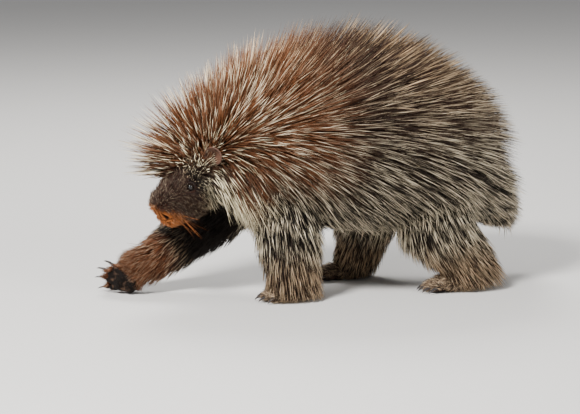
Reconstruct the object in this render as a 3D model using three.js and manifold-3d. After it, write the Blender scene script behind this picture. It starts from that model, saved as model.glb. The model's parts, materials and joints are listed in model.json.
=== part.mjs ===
// A porcupine at life size, walking with its head held low and its right forefoot reaching out.
// Millimetres, +Z up, the nose toward -Y and the animal's left side toward +X.
import * as THREE from 'three';
import { mergeVertices } from 'three/addons/utils/BufferGeometryUtils.js';
import Module from 'manifold-3d';

const wasm = await Module();
wasm.setup();

const v = (x, y, z) => new THREE.Vector3(x, y, z);

// Driving sizes
const GAP = 0.3; // left between parts that meet
const CORE_SHARE = 0.42; // how much of the coat's depth is solid under the locks
const LOCK_SUNK = 0.13; // how far below the core a lock's root starts, as a share of its length
const EYE_RADIUS = 8.2;
const EYE_DEPTH = 2.6; // of the eye's middle under the skin
const EAR_LIFT = 8; // of the ear's middle above the head
const MOUTH_DROP = 15; // of the mouth's line under the muzzle's middle
const TOE_RADIUS = 7;
const CLAW_RADIUS = 3.2;
const BEND = 0.17; // radians that a strand leans from its mean, more at its root and less at its tip
const FLOOR_CLEAR = 2.5; // left under the tips of the coat
const FLOOR_THICKNESS = 60; // of the block that trims what would sink into the floor

// Where one part of the body ends and the next begins, as a share of the way from rump to nose
const TORSO_END = 0.53;
const NECK_END = 0.645;
const EAR_AT = 0.7;
const EYE_AT = 0.79;
const MOUTH_AT = 0.94;
const NOSTRIL_AT = 0.966;

// Finishes, as a person would name them
const FINISH = {
  coat: { color: 0x5a3e2c, roughness: 0.85 },
  face: { color: 0x8a5c3a, roughness: 0.8 },
  ear: { color: 0x6b4a38, roughness: 0.8 },
  eye: { color: 0x120d0a, roughness: 0.1 },
  sole: { color: 0x2a2220, roughness: 0.7 },
  claw: { color: 0x1c1a1c, roughness: 0.4 },
};

// A station of a body form: its middle, half width, half heights up and down,
// and how deep the coat is on its top, its sides and underneath.
function station(at, [wide, high, low], [top, side, under]) {
  return { at, radii: v(wide, high, low), coat: v(top, side, under) };
}

// A form that runs through stations with oval sections, rounded at both ends
class Loft {
  constructor(stations, { up = v(0, 0, 1), caps = [0.1, 0.1], sides = 18 } = {}) {
    this.path = new THREE.CatmullRomCurve3(stations.map((s) => s.at));
    this.radii = new THREE.CatmullRomCurve3(stations.map((s) => s.radii));
    this.coat = new THREE.CatmullRomCurve3(stations.map((s) => s.coat));
    this.up = up;
    this.caps = caps;
    this.sides = sides;
  }

  // How much of its full section the form has at t, less only in the rounded ends
  fullness(t) {
    const [first, last] = this.caps;
    const left = Math.max(0, 1 - t / first, 1 - (1 - t) / last);
    return Math.sqrt(Math.max(0, 1 - left * left));
  }

  frame(t) {
    const along = this.path.getTangent(t);
    const side = along.clone().cross(this.up).normalize();
    const up = side.clone().cross(along);
    return { middle: this.path.getPoint(t), along, side, up };
  }

  // A point of the skin at t and turn, or of a layer above it that holds a share of the coat
  point(t, turn, share = 0) {
    const { middle, side, up } = this.frame(t);
    const radii = this.radii.getPoint(t);
    const coat = this.coat.getPoint(t);
    const across = Math.cos(turn);
    const rise = Math.sin(turn);
    const high = rise > 0 ? radii.y : radii.z;
    const depth = THREE.MathUtils.lerp(coat.y, rise > 0 ? coat.x : coat.z, rise * rise);
    const full = this.fullness(t);
    return middle
      .addScaledVector(side, across * (radii.x + share * depth) * full)
      .addScaledVector(up, rise * (high + share * depth) * full);
  }

  // Where the rings of a stretch lie, closer together where the form is rounded
  stops(from, to, rings) {
    const [first, last] = this.caps;
    return Array.from({ length: rings + 1 }, (_, i) => {
      const t = THREE.MathUtils.lerp(from, to, i / rings);
      const near = Math.min(t / first, (1 - t) / last, 1);
      const pull = near < 1 ? 1 - Math.cos((near * Math.PI) / 2) : 1;
      return near === 1 ? t : t < 0.5 ? pull * first : 1 - pull * last;
    });
  }

  // The stretch between two shares of the path, flat where it is parted
  stretch(from, to, rings, share = CORE_SHARE) {
    const stops = this.stops(from, to, rings);
    const full = [from > 0 ? from : [], stops, to < 1 ? to : []].flat();
    const shape = new THREE.SphereGeometry(1, this.sides, full.length - 1);
    const place = shape.attributes.position;
    for (let i = 0; i < place.count; i++) {
      const row = Math.floor(i / (this.sides + 1));
      const turn = ((i % (this.sides + 1)) / this.sides) * 2 * Math.PI;
      const pole = row === 0 || row === full.length - 1;
      const p = pole ? this.path.getPoint(full[row]) : this.point(full[row], turn, share);
      place.setXYZ(i, p.x, p.y, p.z);
    }
    return weld(shape);
  }
}

// Merges shared corners, so that only the shape is left
function weld(shape) {
  shape.deleteAttribute('normal');
  shape.deleteAttribute('uv');
  return mergeVertices(shape, 1e-3);
}

// The same closed shape with every corner moved out by a distance
function grown(shape, by = GAP) {
  const copy = shape.clone();
  copy.computeVertexNormals();
  const { position, normal } = copy.attributes;
  for (let i = 0; i < position.count; i++) {
    const p = new THREE.Vector3().fromBufferAttribute(position, i);
    p.addScaledVector(new THREE.Vector3().fromBufferAttribute(normal, i), by * 1.15);
    position.setXYZ(i, p.x, p.y, p.z);
  }
  copy.deleteAttribute('normal');
  return copy;
}

function solid(shape) {
  return new wasm.Manifold(new wasm.Mesh({
    numProp: 3,
    vertProperties: new Float32Array(shape.attributes.position.array),
    triVerts: new Uint32Array(shape.index.array),
  }));
}

function joined(shapes) {
  return shapes.map(solid).reduce((whole, piece) => whole.add(piece));
}

// The largest closed surface of a solid, without sealed hollows or loose scraps
function largest(body) {
  return body.decompose().sort((a, b) => b.volume() - a.volume())[0];
}

function named(name, body, finish) {
  const { vertProperties, triVerts } = largest(body).getMesh();
  const shape = new THREE.BufferGeometry();
  shape.setAttribute('position', new THREE.BufferAttribute(vertProperties, 3));
  shape.setIndex(new THREE.BufferAttribute(triVerts, 1));
  const mesh = new THREE.Mesh(shape, new THREE.MeshStandardMaterial({ metalness: 0, ...finish }));
  mesh.name = name;
  return mesh;
}

// The body from rump to nose
const BODY = new Loft([
  station(v(0, 395, 232), [44, 46, 46], [70, 55, 40]),
  station(v(0, 330, 252), [90, 96, 96], [85, 70, 45]),
  station(v(0, 240, 272), [106, 116, 112], [110, 75, 40]),
  station(v(0, 140, 284), [108, 124, 120], [140, 80, 40]),
  station(v(0, 40, 287), [99, 112, 110], [145, 80, 40]),
  station(v(0, -40, 292), [82, 88, 90], [140, 75, 52]),
  station(v(3, -100, 288), [62, 62, 66], [128, 62, 72]),
  station(v(8, -150, 262), [50, 52, 54], [105, 50, 56]),
  station(v(16, -195, 216), [42, 42, 44], [22, 7, 12]),
  station(v(21, -232, 194), [34, 35, 38], [9, 6, 6]),
  station(v(26, -257, 178), [28, 30, 32], [4, 4, 4]),
], { caps: [0.12, 0.05], sides: 20 });

// The tail, short and thick, swung away to the right
const TAIL = new Loft([
  station(v(0, 352, 235), [46, 46, 46], [30, 30, 20]),
  station(v(-12, 405, 205), [38, 34, 32], [42, 34, 22]),
  station(v(-38, 462, 160), [30, 26, 24], [40, 34, 22]),
  station(v(-66, 512, 122), [16, 14, 12], [22, 20, 14]),
], { caps: [0.1, 0.16], sides: 12 });

// Legs run from inside the body down into their feet
const FORWARD = v(0, -1, 0);
const LEGS = {
  foreleg_left: new Loft([
    station(v(52, -14, 245), [44, 50, 50], [14, 14, 14]),
    station(v(72, -6, 165), [36, 42, 42], [36, 32, 38]),
    station(v(82, 0, 95), [26, 29, 29], [38, 32, 42]),
    station(v(85, 4, 36), [21, 23, 23], [34, 26, 38]),
    station(v(85, 2, 14), [20, 21, 21], [6, 6, 6]),
  ], { up: FORWARD, caps: [0.1, 0.1], sides: 12 }),
  foreleg_right: new Loft([
    station(v(-50, -20, 235), [44, 48, 48], [14, 14, 14]),
    station(v(-68, -95, 168), [36, 40, 40], [24, 22, 30]),
    station(v(-75, -155, 124), [28, 31, 31], [22, 20, 30]),
    station(v(-76, -220, 82), [23, 25, 25], [20, 16, 26]),
    station(v(-76, -278, 50), [19, 20, 20], [8, 8, 10]),
    station(v(-76, -294, 42), [18, 18, 18], [2, 2, 2]),
  ], { caps: [0.1, 0.1], sides: 12 }),
  hindleg_left: new Loft([
    station(v(50, 300, 240), [46, 60, 60], [16, 16, 16]),
    station(v(80, 305, 165), [42, 54, 54], [36, 34, 38]),
    station(v(92, 345, 95), [27, 32, 32], [36, 32, 48]),
    station(v(95, 372, 45), [21, 23, 23], [30, 24, 36]),
    station(v(95, 370, 18), [19, 20, 20], [6, 6, 6]),
  ], { up: FORWARD, caps: [0.1, 0.1], sides: 12 }),
  hindleg_right: new Loft([
    station(v(-50, 285, 240), [46, 58, 58], [16, 16, 16]),
    station(v(-82, 235, 160), [42, 50, 50], [30, 34, 34]),
    station(v(-90, 215, 90), [27, 30, 30], [28, 30, 34]),
    station(v(-90, 200, 42), [21, 22, 22], [24, 20, 26]),
    station(v(-90, 194, 18), [19, 19, 19], [6, 6, 6]),
  ], { up: FORWARD, caps: [0.1, 0.1], sides: 12 }),
};

// A foot stands at a place, turned by angles in its own frame where it is lifted:
// toes toward -Y, sole flat at z = 0.
const FEET = {
  forefoot_left: { leg: 'foreleg_left', at: v(85, -8, 0), length: 58, wide: 25, toes: 4 },
  forefoot_right: {
    leg: 'foreleg_right',
    at: v(-66, -304, 22),
    length: 58,
    wide: 25,
    toes: 4,
    sole: v(0.72, -0.58, -0.38),
    toward: v(-0.45, -0.75, 0.3),
  },
  hindfoot_left: { leg: 'hindleg_left', at: v(95, 345, 0), length: 84, wide: 21, toes: 5 },
  hindfoot_right: { leg: 'hindleg_right', at: v(-90, 168, 0), length: 84, wide: 21, toes: 5 },
};
const LEG_END = 0.8; // the share of a leg's path above the foot

// Raises every corner that lies below the sole's level onto it
function flattened(shape) {
  const place = shape.attributes.position;
  for (let i = 0; i < place.count; i++) {
    place.setZ(i, Math.max(place.getZ(i), 0));
  }
  return shape;
}

function footMatrix({ at, sole = v(0, 0, -1), toward = v(0, -1, 0) }) {
  const z = sole.clone().negate().normalize();
  const y = toward.clone().negate().normalize();
  const x = y.clone().cross(z).normalize();
  return new THREE.Matrix4().makeBasis(x, z.clone().cross(x), z).setPosition(at);
}

function toePlace(foot, i) {
  const spread = (i / (foot.toes - 1) - 0.5) * 2;
  const reach = foot.length / 2 - 7 - 9 * spread * spread;
  return { base: v(spread * foot.wide * 0.78, -reach, TOE_RADIUS), turn: spread * 0.42 };
}

// A toe and its claw point forward and a little outward
function toeShapes(foot, i) {
  const { base, turn } = toePlace(foot, i);
  const ahead = v(Math.sin(turn), -Math.cos(turn), 0);
  const at = (reach, rise) => base.clone().addScaledVector(ahead, reach).add(v(0, 0, rise));
  const toe = new Loft([
    station(at(-12, 1), [7, 8, 14], [0, 0, 0]),
    station(at(6, 1), [TOE_RADIUS, 8, 14], [0, 0, 0]),
    station(at(20, -1), [5.5, 6, 10.5], [0, 0, 0]),
  ], { caps: [0.3, 0.3], sides: 5 });
  const claw = new Loft([
    station(at(12, 2), [CLAW_RADIUS, 3.4, 3.4], [0, 0, 0]),
    station(at(24, 4), [CLAW_RADIUS * 0.85, 3.2, 3], [0, 0, 0]),
    station(at(36, 0.5), [1.8, 2.2, 2], [0, 0, 0]),
    station(at(42, -5.4), [0.7, 0.7, 0.7], [0, 0, 0]),
  ], { caps: [0.12, 0.06], sides: 5 });
  return { toe: flattened(toe.stretch(0, 1, 4, 0)), claw: claw.stretch(0, 1, 4, 0) };
}

function buildFoot(name, foot, floor) {
  const matrix = footMatrix(foot);
  const palm = new Loft([
    station(v(0, foot.length / 2, 11), [foot.wide * 0.7, 12, 17], [0, 0, 0]),
    station(v(0, foot.length / 6, 12), [foot.wide * 0.95, 15, 19], [0, 0, 0]),
    station(v(0, -foot.length / 6, 10), [foot.wide, 13, 17], [0, 0, 0]),
    station(v(0, -foot.length / 2, 9), [foot.wide * 0.8, 8, 14], [0, 0, 0]),
  ], { caps: [0.25, 0.2], sides: 8 });
  const digits = Array.from({ length: foot.toes }, (_, i) => toeShapes(foot, i));
  const leg = LEGS[foot.leg];
  const pads = [flattened(palm.stretch(0, 1, 6, 0)), ...digits.map((d) => d.toe)];
  const shapes = pads.map((shape) => shape.applyMatrix4(matrix));
  let body = joined([...shapes, leg.stretch(LEG_END, 1, 3, 0)]);
  body = body.subtract(solid(grown(leg.stretch(0, LEG_END, 12))));
  const claws = digits.map((d) => d.claw.applyMatrix4(matrix));
  for (const claw of claws) {
    body = body.subtract(solid(grown(claw)));
  }
  const side = name.replace('foot', '');
  return [
    named(name, body.subtract(floor), FINISH.sole),
    ...claws.map((claw, i) => named(`claw_${side}_${i + 1}`, solid(claw), FINISH.claw)),
  ];
}

const SOCKET = { left: Math.PI - 0.5, right: 0.5 };
const NOSTRIL = { left: Math.PI - 0.42, right: 0.42 };

// A ball stretched three ways and set in a frame
function oval(radii, matrix, sides = 12) {
  const shape = new THREE.SphereGeometry(1, sides, Math.round(sides * 0.7));
  shape.scale(radii.x, radii.y, radii.z);
  return solid(weld(shape.applyMatrix4(matrix)));
}

const shifted = (frame, x, y, z) => frame.clone().multiply(new THREE.Matrix4().makeTranslation(x, y, z));

// A frame on the body's surface whose z looks out of it and whose y points toward the nose
function surfaceFrame(loft, t, turn, { depth = 0, share = 0 } = {}) {
  const p = loft.point(t, turn, share);
  const ahead = loft.point(t + 0.01, turn, share).sub(loft.point(t - 0.01, turn, share)).normalize();
  const round = loft.point(t, turn + 0.05, share).sub(loft.point(t, turn - 0.05, share)).normalize();
  const out = round.clone().cross(ahead).normalize();
  if (out.dot(p.clone().sub(loft.path.getPoint(t))) < 0) {
    out.negate();
  }
  const x = ahead.clone().cross(out).normalize();
  return new THREE.Matrix4().makeBasis(x, ahead, out).setPosition(p.addScaledVector(out, -depth));
}

// Lips that stand up along the line of the mouth, which is cut into them
function addMouth(head) {
  const { middle, along, side, up } = BODY.frame(MOUTH_AT);
  const frame = new THREE.Matrix4().makeBasis(side, along, up)
    .setPosition(middle.addScaledVector(up, -MOUTH_DROP));
  const lips = oval(v(32, 27, 4.5), frame, 8);
  const line = oval(v(44, 38, 1), frame, 8).subtract(oval(v(25, 21, 3), frame, 6));
  return head.add(lips).subtract(line);
}

// Two comma-shaped nostrils with a soft rim
function addNostrils(head) {
  let body = head;
  for (const turn of Object.values(NOSTRIL)) {
    const frame = surfaceFrame(BODY, NOSTRIL_AT, turn);
    body = body.add(oval(v(6.5, 7.5, 3.4), frame, 6));
    body = body.subtract(oval(v(2, 4, 4.4), shifted(frame, 0, 1, 2), 6));
  }
  return body;
}

function buildHead(shape) {
  let head = addNostrils(addMouth(solid(shape)));
  const eyes = Object.entries(SOCKET).map(([side, turn]) => {
    const frame = surfaceFrame(BODY, EYE_AT, turn, { depth: EYE_DEPTH });
    head = head.add(oval(v(12.5, 13.5, 10.8), frame, 8));
    head = head.subtract(oval(v(1, 1, 1).multiplyScalar(EYE_RADIUS + 0.6), frame, 10));
    head = head.subtract(oval(v(7.2, 9, 13), shifted(frame, 0, 0, 9), 8));
    const eye = oval(v(1, 1, 1).multiplyScalar(EYE_RADIUS), frame, 12);
    return named(`eye_${side}`, eye, FINISH.eye);
  });
  return { head, eyes };
}

// Each ear is a round cup that opens forward and out
function buildEars() {
  return Object.entries(SOCKET).map(([side, turn]) => {
    const frame = surfaceFrame(BODY, EAR_AT, turn, { depth: -EAR_LIFT, share: CORE_SHARE });
    const cup = frame.multiply(new THREE.Matrix4().makeRotationX(0.6));
    const hollow = oval(v(15, 8, 17), shifted(cup, 0, 5, 7), 8);
    return [`ear_${side}`, oval(v(20, 8, 24), cup, 10).subtract(hollow)];
  });
}

// Random draws that come out the same each time
function seeded(seed) {
  let state = seed;
  return () => {
    state = (state * 1664525 + 1013904223) % 4294967296;
    return state / 4294967296;
  };
}

// How steeply the coat stands on the body from rump to nose, in degrees from the way it lies:
// the hair fans out from the crown, so in front of it the angle passes a right angle.
const STAND_TOP = [26, 32, 42, 50, 55, 62, 74, 88, 104, 60, 40];
const STAND_SIDE = [24, 26, 29, 32, 33, 35, 40, 52, 60, 35, 25];
const STAND_UNDER = [22, 24, 24, 24, 26, 28, 32, 36, 40, 30, 25];
const STAND_LIMB = 23;
const FRINGE_AT = 0.735;
const FRINGE_TURN = 0.85;
const FRINGE_REACH = 0.075;
const FRINGE_LEAN = 40;
const FRINGE_MORE = 0.75;
const CHEEK_DROOP = 1.3; // how much more the hair hangs on the cheeks than on the flanks

function along(values, t) {
  const place = t * (values.length - 1);
  const i = Math.min(Math.floor(place), values.length - 2);
  return THREE.MathUtils.lerp(values[i], values[i + 1], place - i);
}

// Around the right cheek and crown the hair is longer and leans forward, 1 at the middle of that patch
function fringe(t, turn) {
  return Math.max(0, Math.cos(turn - FRINGE_TURN)) * Math.exp(-(((t - FRINGE_AT) / FRINGE_REACH) ** 2));
}

// The way the coat lies: on the body toward the rump and down its sides, on a limb toward its end
function bodyLie(t, turn) {
  const rise = Math.sin(turn);
  const far = along(rise > 0 ? STAND_TOP : STAND_UNDER, t);
  const flare = fringe(t, turn);
  const stand = THREE.MathUtils.lerp(along(STAND_SIDE, t), far, rise * rise) + FRINGE_LEAN * flare;
  const cheek = 1 + CHEEK_DROOP * THREE.MathUtils.smoothstep(t, TORSO_END, NECK_END);
  const hang = THREE.MathUtils.clamp(0.55 - 0.45 * rise, 0, 0.95) * cheek;
  return { stand, way: -1, droop: Math.cos(turn) ** 2 * hang * (1 - flare), more: 1 + FRINGE_MORE * flare };
}

function limbLie() {
  return { stand: STAND_LIMB, way: 1, droop: 0, more: 1 };
}

// The curve of a strand of the coat from the skin to its tip, leaning more toward its end
function strand(loft, lie, t, turn, { reach = 1, lift = 0 }) {
  const root = loft.point(t, turn, 0);
  const frame = surfaceFrame(loft, t, turn);
  const [x, y, out] = [v(0, 0, 0), v(0, 0, 0), v(0, 0, 0)];
  frame.extractBasis(x, y, out);
  const { stand, way, droop, more } = lie(t, turn);
  const flat = y.multiplyScalar(way).addScaledVector(v(0, 0, -1), droop);
  flat.addScaledVector(out, -flat.dot(out)).normalize();
  const coat = loft.coat.getPoint(t);
  const rise = Math.sin(turn);
  const depth = THREE.MathUtils.lerp(coat.y, rise > 0 ? coat.x : coat.z, rise * rise);
  const steep = THREE.MathUtils.degToRad(stand + lift);
  const length = (reach * more * depth) / Math.sin(THREE.MathUtils.degToRad(Math.min(stand, 90)));
  const lean = (angle) => flat.clone().multiplyScalar(Math.cos(angle)).addScaledVector(out, Math.sin(angle));
  const bend = root.clone().addScaledVector(lean(steep + BEND), length / 2);
  const tip = bend.clone().addScaledVector(lean(steep - BEND), length / 2);
  bend.z = Math.max(bend.z, FLOOR_CLEAR + 4);
  tip.z = Math.max(tip.z, FLOOR_CLEAR);
  return { curve: new THREE.QuadraticBezierCurve3(root, bend, tip), out, length };
}

// A tapered form along a strand, from below the core's surface to the strand's tip
function spike({ curve, out }, { wide, thick, sides, rings, profile }) {
  const shape = new THREE.SphereGeometry(1, sides, rings + 1);
  const place = shape.attributes.position;
  const from = CORE_SHARE - LOCK_SUNK;
  for (let i = 0; i < place.count; i++) {
    const row = Math.floor(i / (sides + 1));
    const turn = ((i % (sides + 1)) / sides) * 2 * Math.PI;
    const share = row / (rings + 1);
    const t = THREE.MathUtils.lerp(from, 1, share);
    const tangent = curve.getTangent(t);
    const side = tangent.clone().cross(out).normalize();
    const up = side.clone().cross(tangent);
    const size = profile(share) * (row > 0 && row <= rings ? 1 : 0);
    const p = curve.getPoint(t)
      .addScaledVector(side, Math.cos(turn) * wide * size)
      .addScaledVector(up, Math.sin(turn) * thick * size);
    place.setXYZ(i, p.x, p.y, p.z);
  }
  return weld(shape);
}

const LOCK = { sides: 4, rings: 3, profile: (share) => 1.3 * Math.sqrt(1 - share) * (0.75 + 0.5 * share) };
const QUILL = { sides: 3, rings: 2, profile: (share) => (share > 0.5 ? 0.8 : 1) };

// Evenly spread places on a stretch of a form, in staggered rows
function places(loft, [from, to], spacing, random) {
  const length = loft.path.getLength() * (to - from);
  const rows = Math.max(1, Math.round(length / spacing));
  const found = [];
  for (let row = 0; row < rows; row++) {
    const t = THREE.MathUtils.lerp(from, to, (row + 0.5 + 0.4 * (random() - 0.5)) / rows);
    const radii = loft.radii.getPoint(t);
    const coat = loft.coat.getPoint(t);
    const round = Math.PI * (radii.x + radii.y + CORE_SHARE * (coat.x + coat.y)) * loft.fullness(t);
    const count = Math.max(3, Math.round(round / spacing));
    for (let i = 0; i < count; i++) {
      const turn = ((i + (row % 2) / 2 + 0.35 * (random() - 0.5)) / count) * 2 * Math.PI;
      found.push({ t: THREE.MathUtils.clamp(t + (0.3 * (random() - 0.5)) / rows, 0.01, 0.99), turn });
    }
  }
  return found;
}

// Everything that grown forms have to stay clear of, node by node
const standing = [];

function isClear(shape, owner) {
  const box = new THREE.Box3().setFromBufferAttribute(shape.attributes.position);
  const body = solid(shape);
  return standing.every((other) => other.owner === owner || !other.box.intersectsBox(box)
    || other.body.intersect(body).isEmpty());
}

function stand(shape, owner) {
  const wider = grown(shape);
  const box = new THREE.Box3().setFromBufferAttribute(wider.attributes.position);
  standing.push({ owner, box, body: solid(wider) });
}

// The share of its length and the lift in degrees that a form takes to clear its neighbours, in turn
const TRIES = [
  [1, 0], [1, 9], [0.95, 18], [0.9, 28], [0.85, -8], [0.62, 5], [0.62, 22], [0.55, 38], [0.42, 10], [0.36, 30],
];

// Grows locks or quills on a form, each bent up or shortened until it clears its neighbours
function growCoat(owner, loft, lie, stretch, { spacing, wide, thick, kind, reach, seed }) {
  const random = seeded(seed);
  const shapes = [];
  for (const { t, turn } of places(loft, stretch, spacing, random)) {
    const length = reach * (0.88 + 0.2 * random());
    const size = { ...kind, wide: wide * (0.85 + 0.3 * random()), thick };
    for (const [part, lift] of TRIES) {
      const shape = spike(strand(loft, lie, t, turn, { reach: length * part, lift }), size);
      if (isClear(shape, owner)) {
        stand(shape, owner);
        shapes.push(shape);
        break;
      }
    }
  }
  return shapes;
}

const group = new THREE.Group();
const floor = solid(weld(new THREE.BoxGeometry(2000, 2000, FLOOR_THICKNESS)
  .translate(0, 0, -FLOOR_THICKNESS / 2)));

const gapShare = 0.0008; // of the body's path, about the gap's width
const bodyShapes = {
  torso: BODY.stretch(0, TORSO_END, 16),
  neck: BODY.stretch(TORSO_END + gapShare, NECK_END - gapShare, 4),
  head: BODY.stretch(NECK_END, 1, 12),
};
const tailShape = TAIL.stretch(0, 1, 9);
const wholeBody = Object.values(bodyShapes);

// Cuts a solid back so that the gap is left to each of some shapes
function clearOf(body, shapes) {
  return shapes.reduce((left, shape) => left.subtract(solid(grown(shape)).add(solid(shape))), body);
}

const cores = { torso: solid(bodyShapes.torso), neck: solid(bodyShapes.neck) };
const { head, eyes } = buildHead(bodyShapes.head);
cores.head = head;
cores.tail = clearOf(solid(tailShape), wholeBody);
for (const [name, leg] of Object.entries(LEGS)) {
  const body = clearOf(solid(leg.stretch(0, LEG_END, 8)), [...wholeBody, tailShape]);
  cores[name] = largest(body.subtract(floor));
}
const ears = buildEars().map(([name, shell]) => named(name, clearOf(shell, wholeBody), FINISH.ear));
const feet = Object.entries(FEET).flatMap(([name, foot]) => buildFoot(name, foot, floor));

for (const [name, body] of Object.entries(cores)) {
  stand(weld(named(name, body, FINISH.coat).geometry), name);
}
[...eyes, ...ears, ...feet].forEach((mesh) => stand(weld(mesh.geometry.clone()), mesh.name));

// The coat, part by part: where on its form, how far apart and how large its locks and quills are
const COATS = [
  ...Object.entries(LEGS).map(([name, leg], i) => [
    name, leg, limbLie, [0.26, 0.76], { spacing: 39, wide: 17, thick: 5, kind: LOCK, reach: 1, seed: 20 + i },
  ]),
  ['head', BODY, bodyLie, [0.655, 0.8], { spacing: 35, wide: 15, thick: 4, kind: LOCK, reach: 1, seed: 11 }],
  ['neck', BODY, bodyLie, [0.54, 0.64], { spacing: 42, wide: 22, thick: 5, kind: LOCK, reach: 1, seed: 12 }],
  ['torso', BODY, bodyLie, [0.02, 0.52], { spacing: 50, wide: 26, thick: 6, kind: LOCK, reach: 1, seed: 13 }],
  ['tail', TAIL, limbLie, [0.3, 0.95], { spacing: 38, wide: 17, thick: 4, kind: LOCK, reach: 1, seed: 16 }],
  ['torso', BODY, bodyLie, [0.03, 0.5], { spacing: 74, wide: 1.5, thick: 1.5, kind: QUILL, reach: 0.85, seed: 14 }],
  ['neck', BODY, bodyLie, [0.54, 0.64], { spacing: 60, wide: 1.5, thick: 1.5, kind: QUILL, reach: 0.85, seed: 15 }],
  ['tail', TAIL, limbLie, [0.3, 0.9], { spacing: 36, wide: 1.5, thick: 1.5, kind: QUILL, reach: 1, seed: 17 }],
];
for (const [name, loft, lie, stretch, sizes] of COATS) {
  const shapes = growCoat(name, loft, lie, stretch, sizes);
  cores[name] = shapes.map(solid).reduce((whole, piece) => whole.add(piece), cores[name]);
}
for (const [name, body] of Object.entries(cores)) {
  group.add(named(name, body, name === 'head' ? FINISH.face : FINISH.coat));
}
group.add(...eyes, ...ears, ...feet);

// The middle of its footprint is the origin
const box = new THREE.Box3().setFromObject(group);
const middle = box.getCenter(v(0, 0, 0));
group.position.set(-middle.x, -middle.y, 0);

export default group;
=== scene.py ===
"""A walking porcupine at life size, dressed over its solids.

The body's forms are written once, in millimetres, as runs of oval sections, and both the skin and the
coat are worked out from them. The skin is one closed mesh, the coat is many thin closed strands that
root on it, eyes and ears are set on the same forms, and the claws are the solids themselves with a
finish of their own.
"""

from __future__ import annotations

import json
import logging
import math
from dataclasses import dataclass, field
from enum import Enum

import bmesh
import bpy
import numpy as np
from mathutils import Matrix, Vector, kdtree

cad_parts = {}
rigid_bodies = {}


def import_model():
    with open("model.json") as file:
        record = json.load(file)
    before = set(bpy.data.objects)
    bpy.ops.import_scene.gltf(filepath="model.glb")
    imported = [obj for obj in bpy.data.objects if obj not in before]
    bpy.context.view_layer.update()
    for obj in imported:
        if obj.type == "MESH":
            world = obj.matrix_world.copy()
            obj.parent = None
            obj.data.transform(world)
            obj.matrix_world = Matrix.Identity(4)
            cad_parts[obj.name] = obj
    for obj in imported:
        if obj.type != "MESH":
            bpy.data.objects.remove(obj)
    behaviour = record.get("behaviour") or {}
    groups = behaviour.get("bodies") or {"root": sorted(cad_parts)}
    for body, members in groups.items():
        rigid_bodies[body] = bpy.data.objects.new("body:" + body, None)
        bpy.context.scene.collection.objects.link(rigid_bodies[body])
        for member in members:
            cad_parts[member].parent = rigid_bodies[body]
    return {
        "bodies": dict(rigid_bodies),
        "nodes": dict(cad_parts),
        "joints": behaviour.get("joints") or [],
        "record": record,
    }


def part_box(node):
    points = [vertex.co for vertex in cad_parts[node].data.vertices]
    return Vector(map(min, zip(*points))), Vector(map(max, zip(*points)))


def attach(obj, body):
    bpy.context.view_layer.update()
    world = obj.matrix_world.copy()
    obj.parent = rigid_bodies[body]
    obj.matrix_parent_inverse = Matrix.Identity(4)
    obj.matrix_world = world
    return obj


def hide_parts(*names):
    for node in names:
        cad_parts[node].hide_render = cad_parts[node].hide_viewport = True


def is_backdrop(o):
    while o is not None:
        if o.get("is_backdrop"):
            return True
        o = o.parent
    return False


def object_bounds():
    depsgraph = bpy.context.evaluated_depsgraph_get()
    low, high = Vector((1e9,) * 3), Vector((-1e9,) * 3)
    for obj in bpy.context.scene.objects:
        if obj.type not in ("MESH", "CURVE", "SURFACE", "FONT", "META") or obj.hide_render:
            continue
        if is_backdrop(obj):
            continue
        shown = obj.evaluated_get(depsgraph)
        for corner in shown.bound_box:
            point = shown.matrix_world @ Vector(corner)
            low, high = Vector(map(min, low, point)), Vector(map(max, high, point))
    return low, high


LOG = logging.getLogger("porcupine")
MM = 0.001
ROOT = "root"
FLOOR_CLEAR = 2.0  # millimetres left under the coat's tips
TOE_RADIUS = 7.0
EYE_DEPTH = 2.6
EYE_RADIUS = 8.2
EYE_AT = 0.79
EYE_OPENING = (6.8, 8.6)  # half the width and height between the lids, in millimetres
EYE_BARE = (8.0, 10.0)  # half the width and height of the hairless patch round the eye
EAR_AT = 0.70
SIDE_TURN = 0.5  # how far above the side of the head the eyes and ears sit, in radians
NOSTRIL_AT = 0.987
NOSTRIL_TURN = -0.22
NOSTRIL_WAY = np.array([0.0, -0.95, 0.3])  # the way each nostril's slit runs
NOSTRIL_BARE = 15.0
MOUTH_AT = 0.94
MOUTH_DROP = 15.0
NECK_AT = 0.53
FRINGE_AT = 0.735  # the patch of longer hair that leans forward beside the right cheek
FRINGE_TURN = 0.85
FRINGE_REACH = 0.075
FRINGE_LEAN = 40.0
FRINGE_MORE = 0.75
JOWL_FLAT = 0.36  # how much flatter, deeper and more downward the hair under the cheeks lies
JOWL_MORE = 0.55
JOWL_HANG = 0.9
JOWL_UNDER = 24.0
SHORT_COAT = 16.0  # the coat's depth up to which it is short fur, in millimetres
QUILL_COAT = 40.0  # the depth from which it has quills
BEND = 0.17  # radians that a strand leans from its mean, more at its root and less at its tip
PATCH = 0.003  # the size of a strand's patch on the bake map
MOST_TRIANGLES = 190000  # in one piece of the coat
DOWN = np.array([0.0, 0.0, -1.0])
TAPER = np.array([0.75, 1.0, 0.8, 0.55])  # a strand's thickness at each of its rings

Triple = tuple[float, float, float]
Colour = tuple[float, float, float]


def unit(rows: np.ndarray) -> np.ndarray:
    """Scales vectors to length one.

    Args:
        rows: Vectors in the last axis.

    Returns:
        The same vectors with length one.
    """
    return rows / np.maximum(np.linalg.norm(rows, axis=-1, keepdims=True), 1e-9)


def smooth(low: float, high: float, value: np.ndarray) -> np.ndarray:
    """Eases from 0 at low to 1 at high.

    Args:
        low: Where the step starts.
        high: Where it ends.
        value: The values to test.

    Returns:
        The eased share for each value.
    """
    share = np.clip((value - low) / (high - low), 0.0, 1.0)
    return share * share * (3 - 2 * share)


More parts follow.
